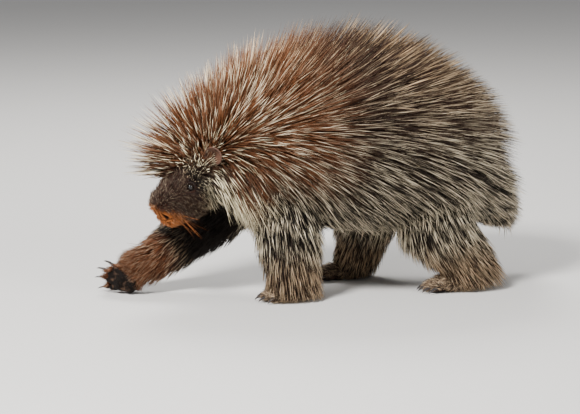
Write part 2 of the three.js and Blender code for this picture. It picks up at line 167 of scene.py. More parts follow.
def within(frame: Matrix, places: np.ndarray) -> np.ndarray:
    """Gives places in a frame's own axes.

    Args:
        frame: The frame.
        places: Places, one a row.

    Returns:
        The same places as the frame has them.
    """
    return (places - np.array(frame.translation)) @ np.array(frame.to_3x3())


def oval(local: np.ndarray, wide: np.ndarray | float, tall: np.ndarray | float) -> np.ndarray:
    """Gives how far out places lie in an oval round the origin, 1 on its edge.

    Args:
        local: Places in the oval's own axes.
        wide: Half its width.
        tall: Half its height.

    Returns:
        The share for each place.
    """
    return np.sqrt((local[:, 0] / wide) ** 2 + (local[:, 1] / tall) ** 2)


class Curve:
    """A smooth curve through points, with the same weights as the solids' own curves."""

    def __init__(self, points: list[Triple]) -> None:
        """Works out the cubic of each span.

        Args:
            points: The points that the curve passes through.
        """
        p = np.array(points, dtype=float)
        p = np.vstack([2 * p[0] - p[1], p, 2 * p[-1] - p[-2]])
        self.spans = len(points) - 1
        rows = []
        for i in range(self.spans):
            p0, p1, p2, p3 = p[i : i + 4]
            d1 = np.linalg.norm(p1 - p2) ** 0.5
            d1 = d1 if d1 > 1e-4 else 1.0
            d0 = np.linalg.norm(p0 - p1) ** 0.5
            d0 = d0 if d0 > 1e-4 else d1
            d2 = np.linalg.norm(p2 - p3) ** 0.5
            d2 = d2 if d2 > 1e-4 else d1
            m1 = ((p1 - p0) / d0 - (p2 - p0) / (d0 + d1) + (p2 - p1) / d1) * d1
            m2 = ((p2 - p1) / d1 - (p3 - p1) / (d1 + d2) + (p3 - p2) / d2) * d1
            rows.append([p1, m1, -3 * p1 + 3 * p2 - 2 * m1 - m2, 2 * p1 - 2 * p2 + m1 + m2])
        self.terms = np.array(rows)

    def at(self, t: np.ndarray) -> np.ndarray:
        """Gives the curve's points.

        Args:
            t: Places from 0 to 1.

        Returns:
            One point a row.
        """
        place = np.clip(np.atleast_1d(t), 0.0, 1.0) * self.spans
        span = np.minimum(place.astype(int), self.spans - 1)
        w = (place - span)[:, None]
        c = self.terms[span]
        return c[:, 0] + w * (c[:, 1] + w * (c[:, 2] + w * c[:, 3]))

    def along(self, t: np.ndarray) -> np.ndarray:
        """Gives the direction of travel, as unit vectors.

        Args:
            t: Places from 0 to 1.

        Returns:
            One direction a row.
        """
        t = np.atleast_1d(t)
        step = 1e-4
        return unit(self.at(np.minimum(t + step, 1.0)) - self.at(np.maximum(t - step, 0.0)))


@dataclass(frozen=True)
class Station:
    """One section of a form: its middle, half width and half heights, and the coat's depth on it."""

    at: Triple
    radii: Triple
    coat: Triple = (0.0, 0.0, 0.0)


class Lie(Enum):
    """Which way the coat lies on a form."""

    BODY = "toward the rump and down the sides"
    LIMB = "toward the limb's end"


# Degrees that the coat stands up from the skin, from rump to nose, over, beside and under the body.
STAND_TOP = np.array([26, 32, 42, 50, 55, 62, 74, 88, 104, 60, 40], dtype=float)
STAND_SIDE = np.array([24, 26, 29, 32, 33, 35, 40, 52, 60, 35, 25], dtype=float)
STAND_UNDER = np.array([22, 24, 24, 24, 26, 28, 32, 36, 40, 30, 25], dtype=float)
STAND_LIMB = 23.0


@dataclass
class Form:
    """A run of oval sections with rounded ends, in millimetres."""

    stations: list[Station]
    up: Triple = (0.0, 0.0, 1.0)
    caps: tuple[float, float] = (0.1, 0.1)
    lie: Lie = Lie.LIMB
    matrix: np.ndarray | None = None

    def __post_init__(self) -> None:
        """Makes the curves that the sections follow."""
        self.path = Curve([s.at for s in self.stations])
        self.radii = Curve([s.radii for s in self.stations])
        self.coat = Curve([s.coat for s in self.stations])

    def fullness(self, t: np.ndarray) -> np.ndarray:
        """Gives how much of its full section the form has, less only in its rounded ends.

        Args:
            t: Places along the form.

        Returns:
            Shares from 0 to 1.
        """
        first, last = self.caps
        left = np.maximum(0.0, np.maximum(1 - t / first, 1 - (1 - t) / last))
        return np.sqrt(np.maximum(0.0, 1 - left * left))

    def axes(self, t: np.ndarray) -> tuple[np.ndarray, np.ndarray, np.ndarray, np.ndarray]:
        """Gives each section's middle, direction, side and up.

        Args:
            t: Places along the form.

        Returns:
            The four, each with one row a place.
        """
        along = self.path.along(t)
        side = unit(np.cross(along, np.array(self.up)))
        return self.path.at(t), along, side, np.cross(side, along)

    def depth(self, t: np.ndarray, rise: np.ndarray) -> np.ndarray:
        """Gives the coat's depth where a section rises by a sine.

        Args:
            t: Places along the form.
            rise: The sine of the turn round the section.

        Returns:
            Depths in millimetres.
        """
        coat = self.coat.at(t)
        far = np.where(rise > 0, coat[:, 0], coat[:, 2])
        return coat[:, 1] + (far - coat[:, 1]) * rise * rise

    def point(self, t: np.ndarray, turn: np.ndarray) -> np.ndarray:
        """Gives points of the skin.

        Args:
            t: Places along the form.
            turn: Turns round it, in radians.

        Returns:
            One point a row, in millimetres.
        """
        t, turn = np.atleast_1d(t), np.atleast_1d(turn)
        middle, _, side, up = self.axes(t)
        radii = self.radii.at(t)
        rise = np.sin(turn)
        high = np.where(rise > 0, radii[:, 1], radii[:, 2])
        full = self.fullness(t)
        wide = (np.cos(turn) * radii[:, 0] * full)[:, None]
        tall = (rise * high * full)[:, None]
        return middle + side * wide + up * tall

    def surface_frame(self, t: float, turn: float, depth: float = 0.0) -> Matrix:
        """Sets a frame on the skin whose z looks out and whose y runs along the form.

        Args:
            t: The place along the form.
            turn: The turn round it.
            depth: How far under the skin the frame's origin lies.

        Returns:
            The frame as a matrix, in millimetres.
        """
        p = self.point(t, turn)[0]
        ahead = unit(self.point(t + 0.01, turn)[0] - self.point(t - 0.01, turn)[0])
        around = unit(self.point(t, turn + 0.05)[0] - self.point(t, turn - 0.05)[0])
        out = unit(np.cross(around, ahead))
        if out @ (p - self.path.at(t)[0]) < 0:
            out = -out
        side = unit(np.cross(ahead, out))
        p = p - out * depth
        rows = [[side[i], ahead[i], out[i], p[i]] for i in range(3)]
        return Matrix([*rows, [0, 0, 0, 1]])

    def shape(self, bm: bmesh.types.BMesh, sides: int = 32, rings: int = 48) -> None:
        """Adds the form's skin to a mesh as a ball drawn out along the form.

        Args:
            bm: The mesh under construction.
            sides: Faces round the form.
            rings: Rings along it.
        """
        made = bmesh.ops.create_uvsphere(bm, u_segments=sides, v_segments=rings, radius=1.0)
        verts = made["verts"]
        ball = np.array([v.co[:] for v in verts])
        polar = np.arccos(np.clip(ball[:, 2], -1, 1)) / math.pi
        first, last = self.caps
        near = np.minimum(np.minimum(polar / first, (1 - polar) / last), 1.0)
        pull = 1 - np.cos(near * math.pi / 2)
        rounded = np.where(polar < 0.5, pull * first, 1 - pull * last)
        t = np.where(near < 1, rounded, polar)
        turn = np.arctan2(ball[:, 1], ball[:, 0])
        places = self.point(t, turn)
        if self.matrix is not None:
            places[:, 2] = np.maximum(places[:, 2], 0.0)
            places = places @ self.matrix[:3, :3].T + self.matrix[:3, 3]
        for vert, place in zip(verts, places):
            vert.co = Vector(place)
        bmesh.ops.recalc_face_normals(bm, faces=list({f for v in verts for f in v.link_faces}))


def body_form() -> Form:
    """Gives the body from rump to nose.

    Returns:
        The body's form.
    """
    rows = [
        ((0, 395, 232), (44, 46, 46), (70, 55, 40)),
        ((0, 330, 252), (90, 96, 96), (85, 70, 45)),
        ((0, 240, 272), (106, 116, 112), (110, 75, 40)),
        ((0, 140, 284), (108, 124, 120), (140, 80, 40)),
        ((0, 40, 287), (99, 112, 110), (145, 80, 40)),
        ((0, -40, 292), (82, 88, 90), (140, 75, 52)),
        ((3, -100, 288), (62, 62, 66), (128, 62, 72)),
        ((8, -150, 262), (50, 52, 54), (105, 50, 56)),
        ((16, -195, 216), (42, 42, 44), (22, 7, 12)),
        ((21, -232, 194), (34, 35, 38), (9, 6, 6)),
        ((26, -257, 178), (28, 30, 32), (4, 4, 4)),
    ]
    return Form([Station(*row) for row in rows], caps=(0.12, 0.05), lie=Lie.BODY)


def tail_form() -> Form:
    """Gives the short thick tail, swung away to the right.

    Returns:
        The tail's form.
    """
    rows = [
        ((0, 352, 235), (46, 46, 46), (30, 30, 20)),
        ((-12, 405, 205), (38, 34, 32), (42, 34, 22)),
        ((-38, 462, 160), (30, 26, 24), (40, 34, 22)),
        ((-66, 512, 122), (16, 14, 12), (22, 20, 14)),
    ]
    return Form([Station(*row) for row in rows], caps=(0.1, 0.16))


def leg_forms() -> dict[str, Form]:
    """Gives the four legs, from inside the body down into their feet.

    Returns:
        Each leg's form by its name.
    """
    forward = (0.0, -1.0, 0.0)
    fore_left = [
        ((52, -14, 245), (44, 50, 50), (14, 14, 14)),
        ((72, -6, 165), (36, 42, 42), (36, 32, 38)),
        ((82, 0, 95), (26, 29, 29), (38, 32, 42)),
        ((85, 4, 36), (21, 23, 23), (34, 26, 38)),
        ((85, 2, 14), (20, 21, 21), (6, 6, 6)),
    ]
    fore_right = [
        ((-50, -20, 235), (44, 48, 48), (14, 14, 14)),
        ((-68, -95, 168), (36, 40, 40), (24, 22, 30)),
        ((-75, -155, 124), (28, 31, 31), (22, 20, 30)),
        ((-76, -220, 82), (23, 25, 25), (20, 16, 26)),
        ((-76, -278, 50), (19, 20, 20), (8, 8, 10)),
        ((-76, -294, 42), (18, 18, 18), (2, 2, 2)),
    ]
    hind_left = [
        ((50, 300, 240), (46, 60, 60), (16, 16, 16)),
        ((80, 305, 165), (42, 54, 54), (36, 34, 38)),
        ((92, 345, 95), (27, 32, 32), (36, 32, 48)),
        ((95, 372, 45), (21, 23, 23), (30, 24, 36)),
        ((95, 370, 18), (19, 20, 20), (6, 6, 6)),
    ]
    hind_right = [
        ((-50, 285, 240), (46, 58, 58), (16, 16, 16)),
        ((-82, 235, 160), (42, 50, 50), (30, 34, 34)),
        ((-90, 215, 90), (27, 30, 30), (28, 30, 34)),
        ((-90, 200, 42), (21, 22, 22), (24, 20, 26)),
        ((-90, 194, 18), (19, 19, 19), (6, 6, 6)),
    ]
    return {
        "foreleg_left": Form([Station(*row) for row in fore_left], up=forward),
        "foreleg_right": Form([Station(*row) for row in fore_right]),
        "hindleg_left": Form([Station(*row) for row in hind_left], up=forward),
        "hindleg_right": Form([Station(*row) for row in hind_right], up=forward),
    }


@dataclass
class Foot:
    """A foot with its toes, in a frame of its own: toes toward -Y and the sole at z = 0."""

    at: Triple
    length: float
    wide: float
    toes: int
    sole: Triple = (0.0, 0.0, -1.0)
    toward: Triple = (0.0, -1.0, 0.0)

    def __post_init__(self) -> None:
        """Works out the foot's place and its forms."""
        z = unit(-np.array(self.sole))
        y = unit(-np.array(self.toward))
        x = unit(np.cross(y, z))
        self.matrix = np.eye(4)
        self.matrix[:3, 0] = x
        self.matrix[:3, 1] = np.cross(z, x)
        self.matrix[:3, 2] = z
        self.matrix[:3, 3] = self.at

    def palm(self) -> Form:
        """Gives the palm from heel to the roots of the toes.

        Returns:
            The palm's form.
        """
        half, wide = self.length / 2, self.wide
        rows = [
            ((0, half, 11), (wide * 0.7, 12, 12), (9, 7, 0)),
            ((0, self.length / 6, 12), (wide * 0.95, 15, 14), (10, 7, 0)),
            ((0, -self.length / 6, 10), (wide, 13, 13), (9, 6, 0)),
            ((0, -half, 9), (wide * 0.8, 8, 9), (6, 5, 0)),
        ]
        return Form([Station(*row) for row in rows], caps=(0.25, 0.2), matrix=self.matrix)

    def digits(self) -> list[Form]:
        """Gives the toes, spread in a fan.

        Returns:
            The toes' forms.
        """
        forms = []
        for i in range(self.toes):
            spread = (i / (self.toes - 1) - 0.5) * 2
            reach = self.length / 2 - 7 - 9 * spread * spread
            turn = spread * 0.42
            base = np.array([spread * self.wide * 0.78, -reach, TOE_RADIUS])
            ahead = np.array([math.sin(turn), -math.cos(turn), 0.0])
            rows = [
                (tuple(base - 12 * ahead + [0, 0, 1]), (7, 8, 8)),
                (tuple(base + 6 * ahead + [0, 0, 1]), (TOE_RADIUS, 8, 8)),
                (tuple(base + 20 * ahead - [0, 0, 1]), (5.5, 6, 6)),
            ]
            forms.append(Form([Station(*row) for row in rows], caps=(0.3, 0.3), matrix=self.matrix))
        return forms

    def pads(self) -> list[tuple[np.ndarray, float]]:
        """Gives the middles and sizes of the soft pads under the palm.

        Returns:
            Each pad's middle and its radius, in millimetres.
        """
        spots = [(-0.5, 0.55), (0.5, 0.55), (-0.62, -0.25), (0.0, -0.35), (0.62, -0.25)]
        places = []
        for across, back in spots:
            local = np.array([across * self.wide * 0.8, back * self.length * 0.5, 2.5, 1.0])
            places.append(((self.matrix @ local)[:3], 8.5))
        return places


def feet() -> dict[str, Foot]:
    """Gives the four feet, the right forefoot lifted so that its sole shows.

    Returns:
        Each foot by its name.
    """
    return {
        "forefoot_left": Foot((85, -8, 0), 58, 25, 4),
        "forefoot_right": Foot((-66, -304, 22), 58, 25, 4, (0.72, -0.58, -0.38), (-0.45, -0.75, 0.3)),
        "hindfoot_left": Foot((95, 345, 0), 84, 21, 5),
        "hindfoot_right": Foot((-90, 168, 0), 84, 21, 5),
    }


class Value:
    """A shader socket that takes part in sums as a number does."""

    def __init__(self, nodes: Nodes, socket: bpy.types.NodeSocket) -> None:
        """Keeps the socket and the builder that made it."""
        self.nodes = nodes
        self.socket = socket

    def _math(self, operation: str, *values: Value | float) -> Value:
        """Adds a Math node on this and other values."""
        return self.nodes.add("ShaderNodeMath", {"operation": operation}, *values)

    def __add__(self, other: Value | float) -> Value:
        """Adds."""
        return self._math("ADD", self, other)

    def __radd__(self, other: float) -> Value:
        """Adds to a number."""
        return self._math("ADD", other, self)

    def __sub__(self, other: Value | float) -> Value:
        """Takes away."""
        return self._math("SUBTRACT", self, other)

    def __rsub__(self, other: float) -> Value:
        """Takes this from a number."""
        return self._math("SUBTRACT", other, self)

    def __mul__(self, other: Value | float) -> Value:
        """Multiplies."""
        return self._math("MULTIPLY", self, other)

    def __rmul__(self, other: float) -> Value:
        """Multiplies a number."""
        return self._math("MULTIPLY", other, self)

    def __truediv__(self, other: Value | float) -> Value:
        """Divides."""
        return self._math("DIVIDE", self, other)

    def clamp(self) -> Value:
        """Keeps the value from 0 to 1."""
        return self.nodes.add("ShaderNodeClamp", {}, self, 0.0, 1.0)

    def step(self, low: float, high: float) -> Value:
        """Eases from 0 at low to 1 at high.

        Args:
            low: Where the step starts. It may lie above high, and then the step falls.
            high: Where it ends.

        Returns:
            The eased value.
        """
        flat = ((self - low) / (high - low)).clamp()
        return flat * flat * (3.0 - 2.0 * flat)


class Nodes:
    """Builds one material's nodes."""

    def __init__(self, name: str) -> None:
        """Starts a material with an empty tree.

        Args:
            name: The material's name.
        """
        self.material = bpy.data.materials.new(name)
        self.material.use_nodes = True
        self.tree = self.material.node_tree
        self.tree.nodes.clear()

    def node(self, kind: str, settings: dict[str, object], inputs: dict[int | str, object]) -> bpy.types.Node:
        """Adds a node, sets it up and links or fills its sockets.

        Args:
            kind: The node's type.
            settings: Properties that are set first.
            inputs: Values or links, by the socket's name or its place among those enabled.

        Returns:
            The node.
        """
        node = self.tree.nodes.new(kind)
        for key, value in settings.items():
            setattr(node, key, value)
        enabled = [s for s in node.inputs if s.enabled]
        for key, value in inputs.items():
            self.fill(node.inputs[key] if isinstance(key, str) else enabled[key], value)
        return node

    def add(self, kind: str, settings: dict[str, object], *inputs: object, out: int | str = 0) -> Value:
        """Adds a node whose sockets are given in order.

        Args:
            kind: The node's type.
            settings: Properties that are set first.
            inputs: Values or links, in the order of the node's enabled sockets.
            out: Which output to give back, by name or by its place among those enabled.

        Returns:
            The output as a value.
        """
        node = self.node(kind, settings, dict(enumerate(inputs)))
        if isinstance(out, str):
            return Value(self, node.outputs[out])
        return Value(self, [s for s in node.outputs if s.enabled][out])

    def fill(self, socket: bpy.types.NodeSocket, value: object) -> None:
        """Links a value to a socket or sets a constant on it.

        Args:
            socket: The socket to fill.
            value: A Value, a number, a colour or a vector.
        """
        if isinstance(value, Value):
            self.tree.links.new(value.socket, socket)
        elif isinstance(value, tuple) and len(socket.default_value) == 4:
            socket.default_value = (*value[:3], 1.0)
        else:
            socket.default_value = value

    def mix(self, share: Value | float, low: Value | Colour, high: Value | Colour) -> Value:
        """Mixes two colours.

        Args:
            share: How much of the second colour shows.
            low: The first colour.
            high: The second colour.

        Returns:
            The mixed colour.
        """
        return self.add("ShaderNodeMix", {"data_type": "RGBA", "clamp_factor": True}, share, low, high)

    def place(self) -> Value:
        """Gives the place on the object."""
        return self.add("ShaderNodeTexCoord", {}, out="Object")

    def attribute(self, name: str, vector: bool = False) -> Value:
        """Reads one of the mesh's own attributes."""
        return self.add("ShaderNodeAttribute", {"attribute_name": name}, out="Vector" if vector else "Fac")

    def distance(self, place: Value, spot: Triple) -> Value:
        """Gives how far a place is from a fixed spot."""
        return self.add("ShaderNodeVectorMath", {"operation": "DISTANCE"}, place, spot)

    def part(self, place: Value, axis: int) -> Value:
        """Gives one coordinate of a place."""
        return self.add("ShaderNodeSeparateXYZ", {}, place, out=axis)

    def noise(self, place: Value, scale: float, detail: float = 3.0, rough: float = 0.6) -> Value:
        """Gives smooth noise from 0 to 1 at a place."""
        return self.add("ShaderNodeTexNoise", {}, place, scale, detail, rough)

    def finish(self, values: dict[str, object], bump: Value | None = None, strength: float = 0.5,
               height: float = 0.001) -> bpy.types.Material:
        """Ends the tree in one shader.

        Args:
            values: The shader's sockets by name.
            bump: A height for a Bump node, if any.
            strength: How strong the bump is.
            height: How high it stands, in metres.

        Returns:
            The material.
        """
        if bump is not None:
            relief = {"Strength": strength, "Distance": height, "Height": bump}
            node = self.node("ShaderNodeBump", {}, relief)
            values = values | {"Normal": Value(self, node.outputs["Normal"])}
        shader = self.node("ShaderNodeBsdfPrincipled", {}, values)
        self.node("ShaderNodeOutputMaterial", {}, {"Surface": Value(self, shader.outputs["BSDF"])})
        return self.material


@dataclass(frozen=True)
class Markings:
    """The colours of the hide and where each one lies, in metres."""

    cheek: Triple
    face: Triple
    nose: Triple
    right_paw: Triple
    flank: Colour = (0.007, 0.004, 0.0025)
    back: Colour = (0.040, 0.016, 0.008)
    fan: Colour = (0.190, 0.070, 0.026)
    mask: Colour = (0.040, 0.016, 0.010)
    rust: Colour = (0.480, 0.150, 0.035)
    foreleg: Colour = (0.170, 0.058, 0.022)
    leg: Colour = (0.050, 0.026, 0.016)
    straw: Colour = (0.900, 0.770, 0.560)
    cream: Colour = (0.880, 0.770, 0.520)
    tan: Colour = (0.640, 0.390, 0.190)
    grizzle: Colour = (0.560, 0.380, 0.230)
    brow: Colour = (0.360, 0.230, 0.135)

    def base(self, n: Nodes, place: Value) -> Value:
        """Gives the colour of the hide, and of a strand near its root.

        Args:
            n: The material's nodes.
            place: The place on the hide.

        Returns:
            The colour.
        """
        x, y, z = (n.part(place, axis) for axis in range(3))
        uneven = n.noise(place, 18.0) * 0.08 - 0.04
        colour = n.mix((z + uneven).step(0.24, 0.38), self.flank, self.back)
        colour = n.mix((z + uneven).step(0.17, 0.10), colour, self.leg)
        fan = (y + uneven).step(0.00, -0.12) * (z + uneven).step(0.24, 0.32)
        colour = n.mix(fan, colour, self.fan)
        ahead = (n.distance(place, self.right_paw) + uneven).step(0.17, 0.11)
        colour = n.mix(ahead * x.step(0.0, -0.03), colour, self.foreleg)
        # Under the chin the hide takes the flank's near-black: dark fur there, and painted shade under the
        # head.
        colour = n.mix(self.throat(x, y, z) * (1.0 - ahead), colour, self.flank)
        face = (n.distance(place, self.face) + uneven * 0.2).step(0.064, 0.044)
        colour = n.mix(face, colour, self.mask)
        nose = (n.distance(place, self.nose) + uneven * 0.3).step(0.054, 0.038)
        level = self.nose[2]
        nose = nose * (z + uneven * 0.3).step(level + 0.026, level + 0.010)
        return n.mix(nose, colour, self.rust)

    @staticmethod
    def throat(x: Value, y: Value, z: Value) -> Value:
        """Gives how far a place lies in the dark under the chin: dark fur, with painted shade under the head.

        Args:
            x: The place across the body.
            y: The place along it.
            z: The place up from the floor.

        Returns:
            The share, from 0 to 1.
        """
        return y.step(-0.11, -0.16) * z.step(0.25, 0.22) * x.step(0.005, -0.022)

    def tips(self, n: Nodes, place: Value, tone: Value) -> Value:
        """Gives the colour of a strand's tip.

        Args:
            n: The material's nodes.
            place: The place of the strand's root.
            tone: How far the strand itself is paler than others.

        Returns:
            The colour.
        """
        x, y, z = (n.part(place, axis) for axis in range(3))
        colour = n.mix(z.step(0.30, 0.42), self.straw, self.tan)
        pale = x.step(0.0, -0.05) * y.step(-0.20, -0.27) * z.step(0.17, 0.22)
        colour = n.mix(pale, colour, self.cream)
        colour = n.mix(z.step(0.17, 0.11), colour, self.grizzle)
        cheek = n.distance(place, self.cheek).step(0.105, 0.05)
        colour = n.mix(cheek, colour, self.cream)
        face = n.distance(place, self.face)
        colour = n.mix(face.step(0.076, 0.054) * 0.9, colour, self.brow)
        colour = n.mix(face.step(0.058, 0.044) * 0.8, colour, self.mask)
        ahead = n.distance(place, self.right_paw).step(0.20, 0.12)
        colour = n.mix(ahead * x.step(0.0, -0.03), colour, self.foreleg)
        colour = n.mix(tone * 0.3, colour, self.cream)
        # Under the chin the tips take the flank's near-black: dark fur there, and painted shade under the
        # head.
        colour = n.mix(self.throat(x, y, z) * (1.0 - ahead), colour, self.flank)
        nose = n.distance(place, self.nose).step(0.052, 0.036)
        nose = nose * z.step(self.nose[2] + 0.03, self.nose[2] + 0.012)
        return n.mix(nose, colour, n.mix(tone * 0.3, self.rust, self.cream))


@dataclass(frozen=True)
class CoatFinish:
    """Long hair: dark at its root and pale at its tip where a strand has a pale one."""

    marks: Markings
    name: str = "guard_hair"
    gloss: float = 0.22

    def build(self) -> bpy.types.Material:
        """Makes the material.

        Returns:
            The material.
        """
        n = Nodes(self.name)
        root = n.attribute("root", vector=True)
        along = n.attribute("along")
        tone = n.attribute("tone")
        pale = n.attribute("pale")
        hide = self.marks.base(n, root)
        tip = self.marks.tips(n, root, tone)
        dark = n.mix(0.6, hide, self.marks.flank)
        colour = n.mix(along.step(0.05, 0.6), dark, hide)
        colour = n.mix(tone.step(0.7, 1.0) * along.step(0.4, 1.0) * 0.3, colour, tip)
        colour = n.mix((0.5 - tone).clamp() * 1.7, colour, self.marks.flank)
        grows = ((along - pale) / 0.2).clamp()
        colour = n.mix(grows, colour, tip)
        patchy = n.noise(root, 60.0, 2.0)
        colour = n.mix((patchy - 0.45).clamp() * 1.3, colour, self.marks.flank)
        rough = 0.52 + along * 0.12
        values = {"Base Color": colour, "Roughness": rough, "Specular IOR Level": self.gloss}
        return n.finish(values)


@dataclass(frozen=True)
class QuillFinish:
    """Stiff quills: cream shafts with dark brown points."""

    name: str = "quill_horn"
    shaft: Colour = (0.74, 0.62, 0.40)
    point: Colour = (0.030, 0.018, 0.012)
    base: Colour = (0.55, 0.44, 0.27)

    def build(self) -> bpy.types.Material:
        """Makes the material.

        Returns:
            The material.
        """
        n = Nodes(self.name)
        along = n.attribute("along")
        tone = n.attribute("tone")
        colour = n.mix(along.step(0.0, 0.35), self.base, self.shaft)
        colour = n.mix((along + tone * 0.2).step(0.84, 0.97), colour, self.point)
        streak = n.noise(n.attribute("root", vector=True), 240.0)
        colour = n.mix(streak * 0.35, colour, self.base)
        return n.finish({"Base Color": colour, "Roughness": 0.32 + tone * 0.1})


@dataclass(frozen=True)
class SkinFinish:
    """Hide under the coat, bare and pebbled on the soles, dark on the lids, with painted shade in the line of
    the mouth and inside the nostrils.
    """

    marks: Markings
    name: str = "hide"
    sole: Colour = (0.006, 0.004, 0.003)
    worn: Colour = (0.120, 0.070, 0.045)
    lid: Colour = (0.010, 0.007, 0.006)
    # painted shade in the line of the mouth and inside the nostrils
    lip: Colour = (0.008, 0.005, 0.004)

    def build(self) -> bpy.types.Material:
        """Makes the material.

        Returns:
            The material.
        """
        n = Nodes(self.name)
        place = n.place()
        hide = n.mix(0.35, self.marks.base(n, place), self.marks.flank)
        grain = n.noise(place, 420.0, 4.0)
        hide = n.mix(grain * 0.4, hide, self.marks.mask)
        bare = n.attribute("bare")
        cells = n.add("ShaderNodeTexVoronoi", {"feature": "F1"}, place, 620.0)
        dirt = n.noise(place, 75.0, 4.0).step(0.52, 0.66)
        sole = n.mix(dirt * 0.75, self.sole, self.worn)
        sole = n.mix(cells.step(0.45, 0.75) * 0.6, sole, self.sole)
        colour = n.mix(bare, hide, sole)
        colour = n.mix(n.attribute("lid"), colour, self.lid)
        # Painted shade in the line of the mouth and inside the nostrils.
        colour = n.mix(n.attribute("lip"), colour, self.lip)
        bump = cells * (0.2 + bare * 0.8) + grain * 0.35
        values = {"Base Color": colour, "Roughness": 0.7 - bare * 0.1, "Specular IOR Level": 0.08}
        return n.finish(values, bump, 0.7, 0.0012)


@dataclass(frozen=True)
class EarFinish:
    """Thin warm brown skin of the ears, darker in patches."""

    name: str = "ear_skin"
    outer: Colour = (0.110, 0.050, 0.030)
    inner: Colour = (0.045, 0.021, 0.014)

    def build(self) -> bpy.types.Material:
        """Makes the material.

        Returns:
            The material.
        """
        n = Nodes(self.name)
        place = n.place()
        grain = n.noise(place, 300.0, 4.0)
        folds = n.noise(place, 90.0, 2.0)
        colour = n.mix(folds.step(0.35, 0.65), self.outer, self.inner)
        colour = n.mix(grain * 0.35, colour, self.outer)
        return n.finish({"Base Color": colour, "Roughness": 0.58}, grain, 0.4, 0.0006)


@dataclass(frozen=True)
class EyeFinish:
    """A wet dark eye, brown round a black pupil."""

    front: Triple
    name: str = "wet_eye"
    iris: Colour = (0.010, 0.006, 0.004)
    pupil: Colour = (0.003, 0.003, 0.003)

    def build(self) -> bpy.types.Material:
        """Makes the material.

        Returns:
            The material.
        """
        n = Nodes(self.name)
        place = n.place()
        gap = n.distance(place, self.front)
        colour = n.mix(gap.step(0.0030, 0.0042), self.pupil, self.iris)
        colour = n.mix(n.noise(place, 900.0) * 0.5, colour, self.pupil)
        values = {"Base Color": colour, "Roughness": 0.06 + n.noise(place, 200.0) * 0.03}
        values |= {"Specular IOR Level": 0.1, "Coat Weight": 0.85, "Coat Roughness": 0.03}
        return n.finish(values)


@dataclass(frozen=True)
class ClawFinish:
    """Dark horn with a fine grain and broad paler patches."""

    name: str = "claw_horn"
    dark: Colour = (0.020, 0.018, 0.020)
    pale: Colour = (0.135, 0.110, 0.090)

    def build(self) -> bpy.types.Material:
        """Makes the material.

        Returns:
            The material.
        """
        n = Nodes(self.name)
        place = n.place()
        fine = n.noise(place, 700.0, 4.0)
        broad = n.noise(place, 120.0, 2.0)
        colour = n.mix(broad.step(0.45, 0.75) * 0.7 + fine * 0.15, self.dark, self.pale)
        rough = 0.26 + fine * 0.2
        return n.finish({"Base Color": colour, "Roughness": rough}, fine, 0.25, 0.0004)


@dataclass(frozen=True)
class FloorFinish:
    """A plain pale studio floor."""

    name: str = "pale_floor"
    colour: Colour = (0.62, 0.60, 0.57)
    shade: Colour = (0.50, 0.49, 0.47)

    def build(self) -> bpy.types.Material:
        """Makes the material.

        Returns:
            The material.
        """
        n = Nodes(self.name)
        soft = n.noise(n.place(), 3.0)
        colour = n.mix(soft * 0.06, self.colour, self.shade)
        return n.finish({"Base Color": colour, "Roughness": 0.85})


@dataclass
class Body:
    """The animal's forms and where they stand in the frame."""

    trunk: Form = field(default_factory=body_form)
    tail: Form = field(default_factory=tail_form)
    legs: dict[str, Form] = field(default_factory=leg_forms)
    feet: dict[str, Foot] = field(default_factory=feet)

    def __post_init__(self) -> None:
        """Finds the shift from the forms' own origin to the frame's from the left eye."""
        low, high = (np.array(corner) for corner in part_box("eye_left"))
        frame = self.trunk.surface_frame(EYE_AT, math.pi - SIDE_TURN, EYE_DEPTH)
        shift = (low + high) / 2 / MM - np.array(frame.translation)
        self.shift = np.array([shift[0], shift[1], 0.0])

    def metres(self, places: np.ndarray) -> np.ndarray:
        """Moves places in millimetres into the frame, in metres."""
        return (places + self.shift) * MM

    def spot(self, place: np.ndarray) -> Triple:
        """Gives one place in the frame as three numbers."""
        return tuple(float(c) for c in self.metres(np.asarray(place)))

    def eye_frames(self) -> dict[str, Matrix]:
        """Gives each eye's frame, in millimetres."""
        turns = {"left": math.pi - SIDE_TURN, "right": SIDE_TURN}
        return {s: self.trunk.surface_frame(EYE_AT, turn, EYE_DEPTH) for s, turn in turns.items()}

    def markings(self) -> Markings:
        """Gives the markings at this body's places.

        Returns:
            The markings, with their places in the frame.
        """
        cheek = self.trunk.point(0.725, math.pi + 0.25)[0]
        face = self.trunk.path.at(0.86)[0]
        nose = self.trunk.path.at(0.985)[0] - np.array([0.0, 0.0, 10.0])
        paw = np.array(self.feet["forefoot_right"].at)
        return Markings(self.spot(cheek), self.spot(face), self.spot(nose), self.spot(paw))


def new_object(name: str, mesh: bpy.types.Mesh, material: bpy.types.Material) -> bpy.types.Object:
    """Adds a mesh to the scene with its material.

    Args:
        name: The object's name.
        mesh: Its mesh.
        material: Its finish.

    Returns:
        The object.
    """
    mesh.materials.append(material)
    piece = bpy.data.objects.new(name, mesh)
    bpy.context.scene.collection.objects.link(piece)
    return piece


def from_bmesh(name: str, bm: bmesh.types.BMesh) -> bpy.types.Mesh:
    """Turns a bmesh into a mesh and frees it.

    Args:
        name: The mesh's name.
        bm: The bmesh.

    Returns:
        The mesh.
    """
    mesh = bpy.data.meshes.new(name)
    bm.to_mesh(mesh)
    bm.free()
    return mesh


def with_modifiers(mesh: bpy.types.Mesh, *settings: tuple[str, dict[str, object]]) -> bpy.types.Mesh:
    """Runs modifiers over a mesh.

    Args:
        mesh: The mesh to start from.
        settings: Each modifier's type and its properties.

    Returns:
        The new mesh.
    """
    carrier = bpy.data.objects.new("carrier", mesh)
    bpy.context.scene.collection.objects.link(carrier)
    for kind, values in settings:
        modifier = carrier.modifiers.new(kind.lower(), kind)
        for key, value in values.items():
            setattr(modifier, key, value)
    graph = bpy.context.evaluated_depsgraph_get()
    made = bpy.data.meshes.new_from_object(carrier.evaluated_get(graph))
    bpy.data.objects.remove(carrier)
    return made


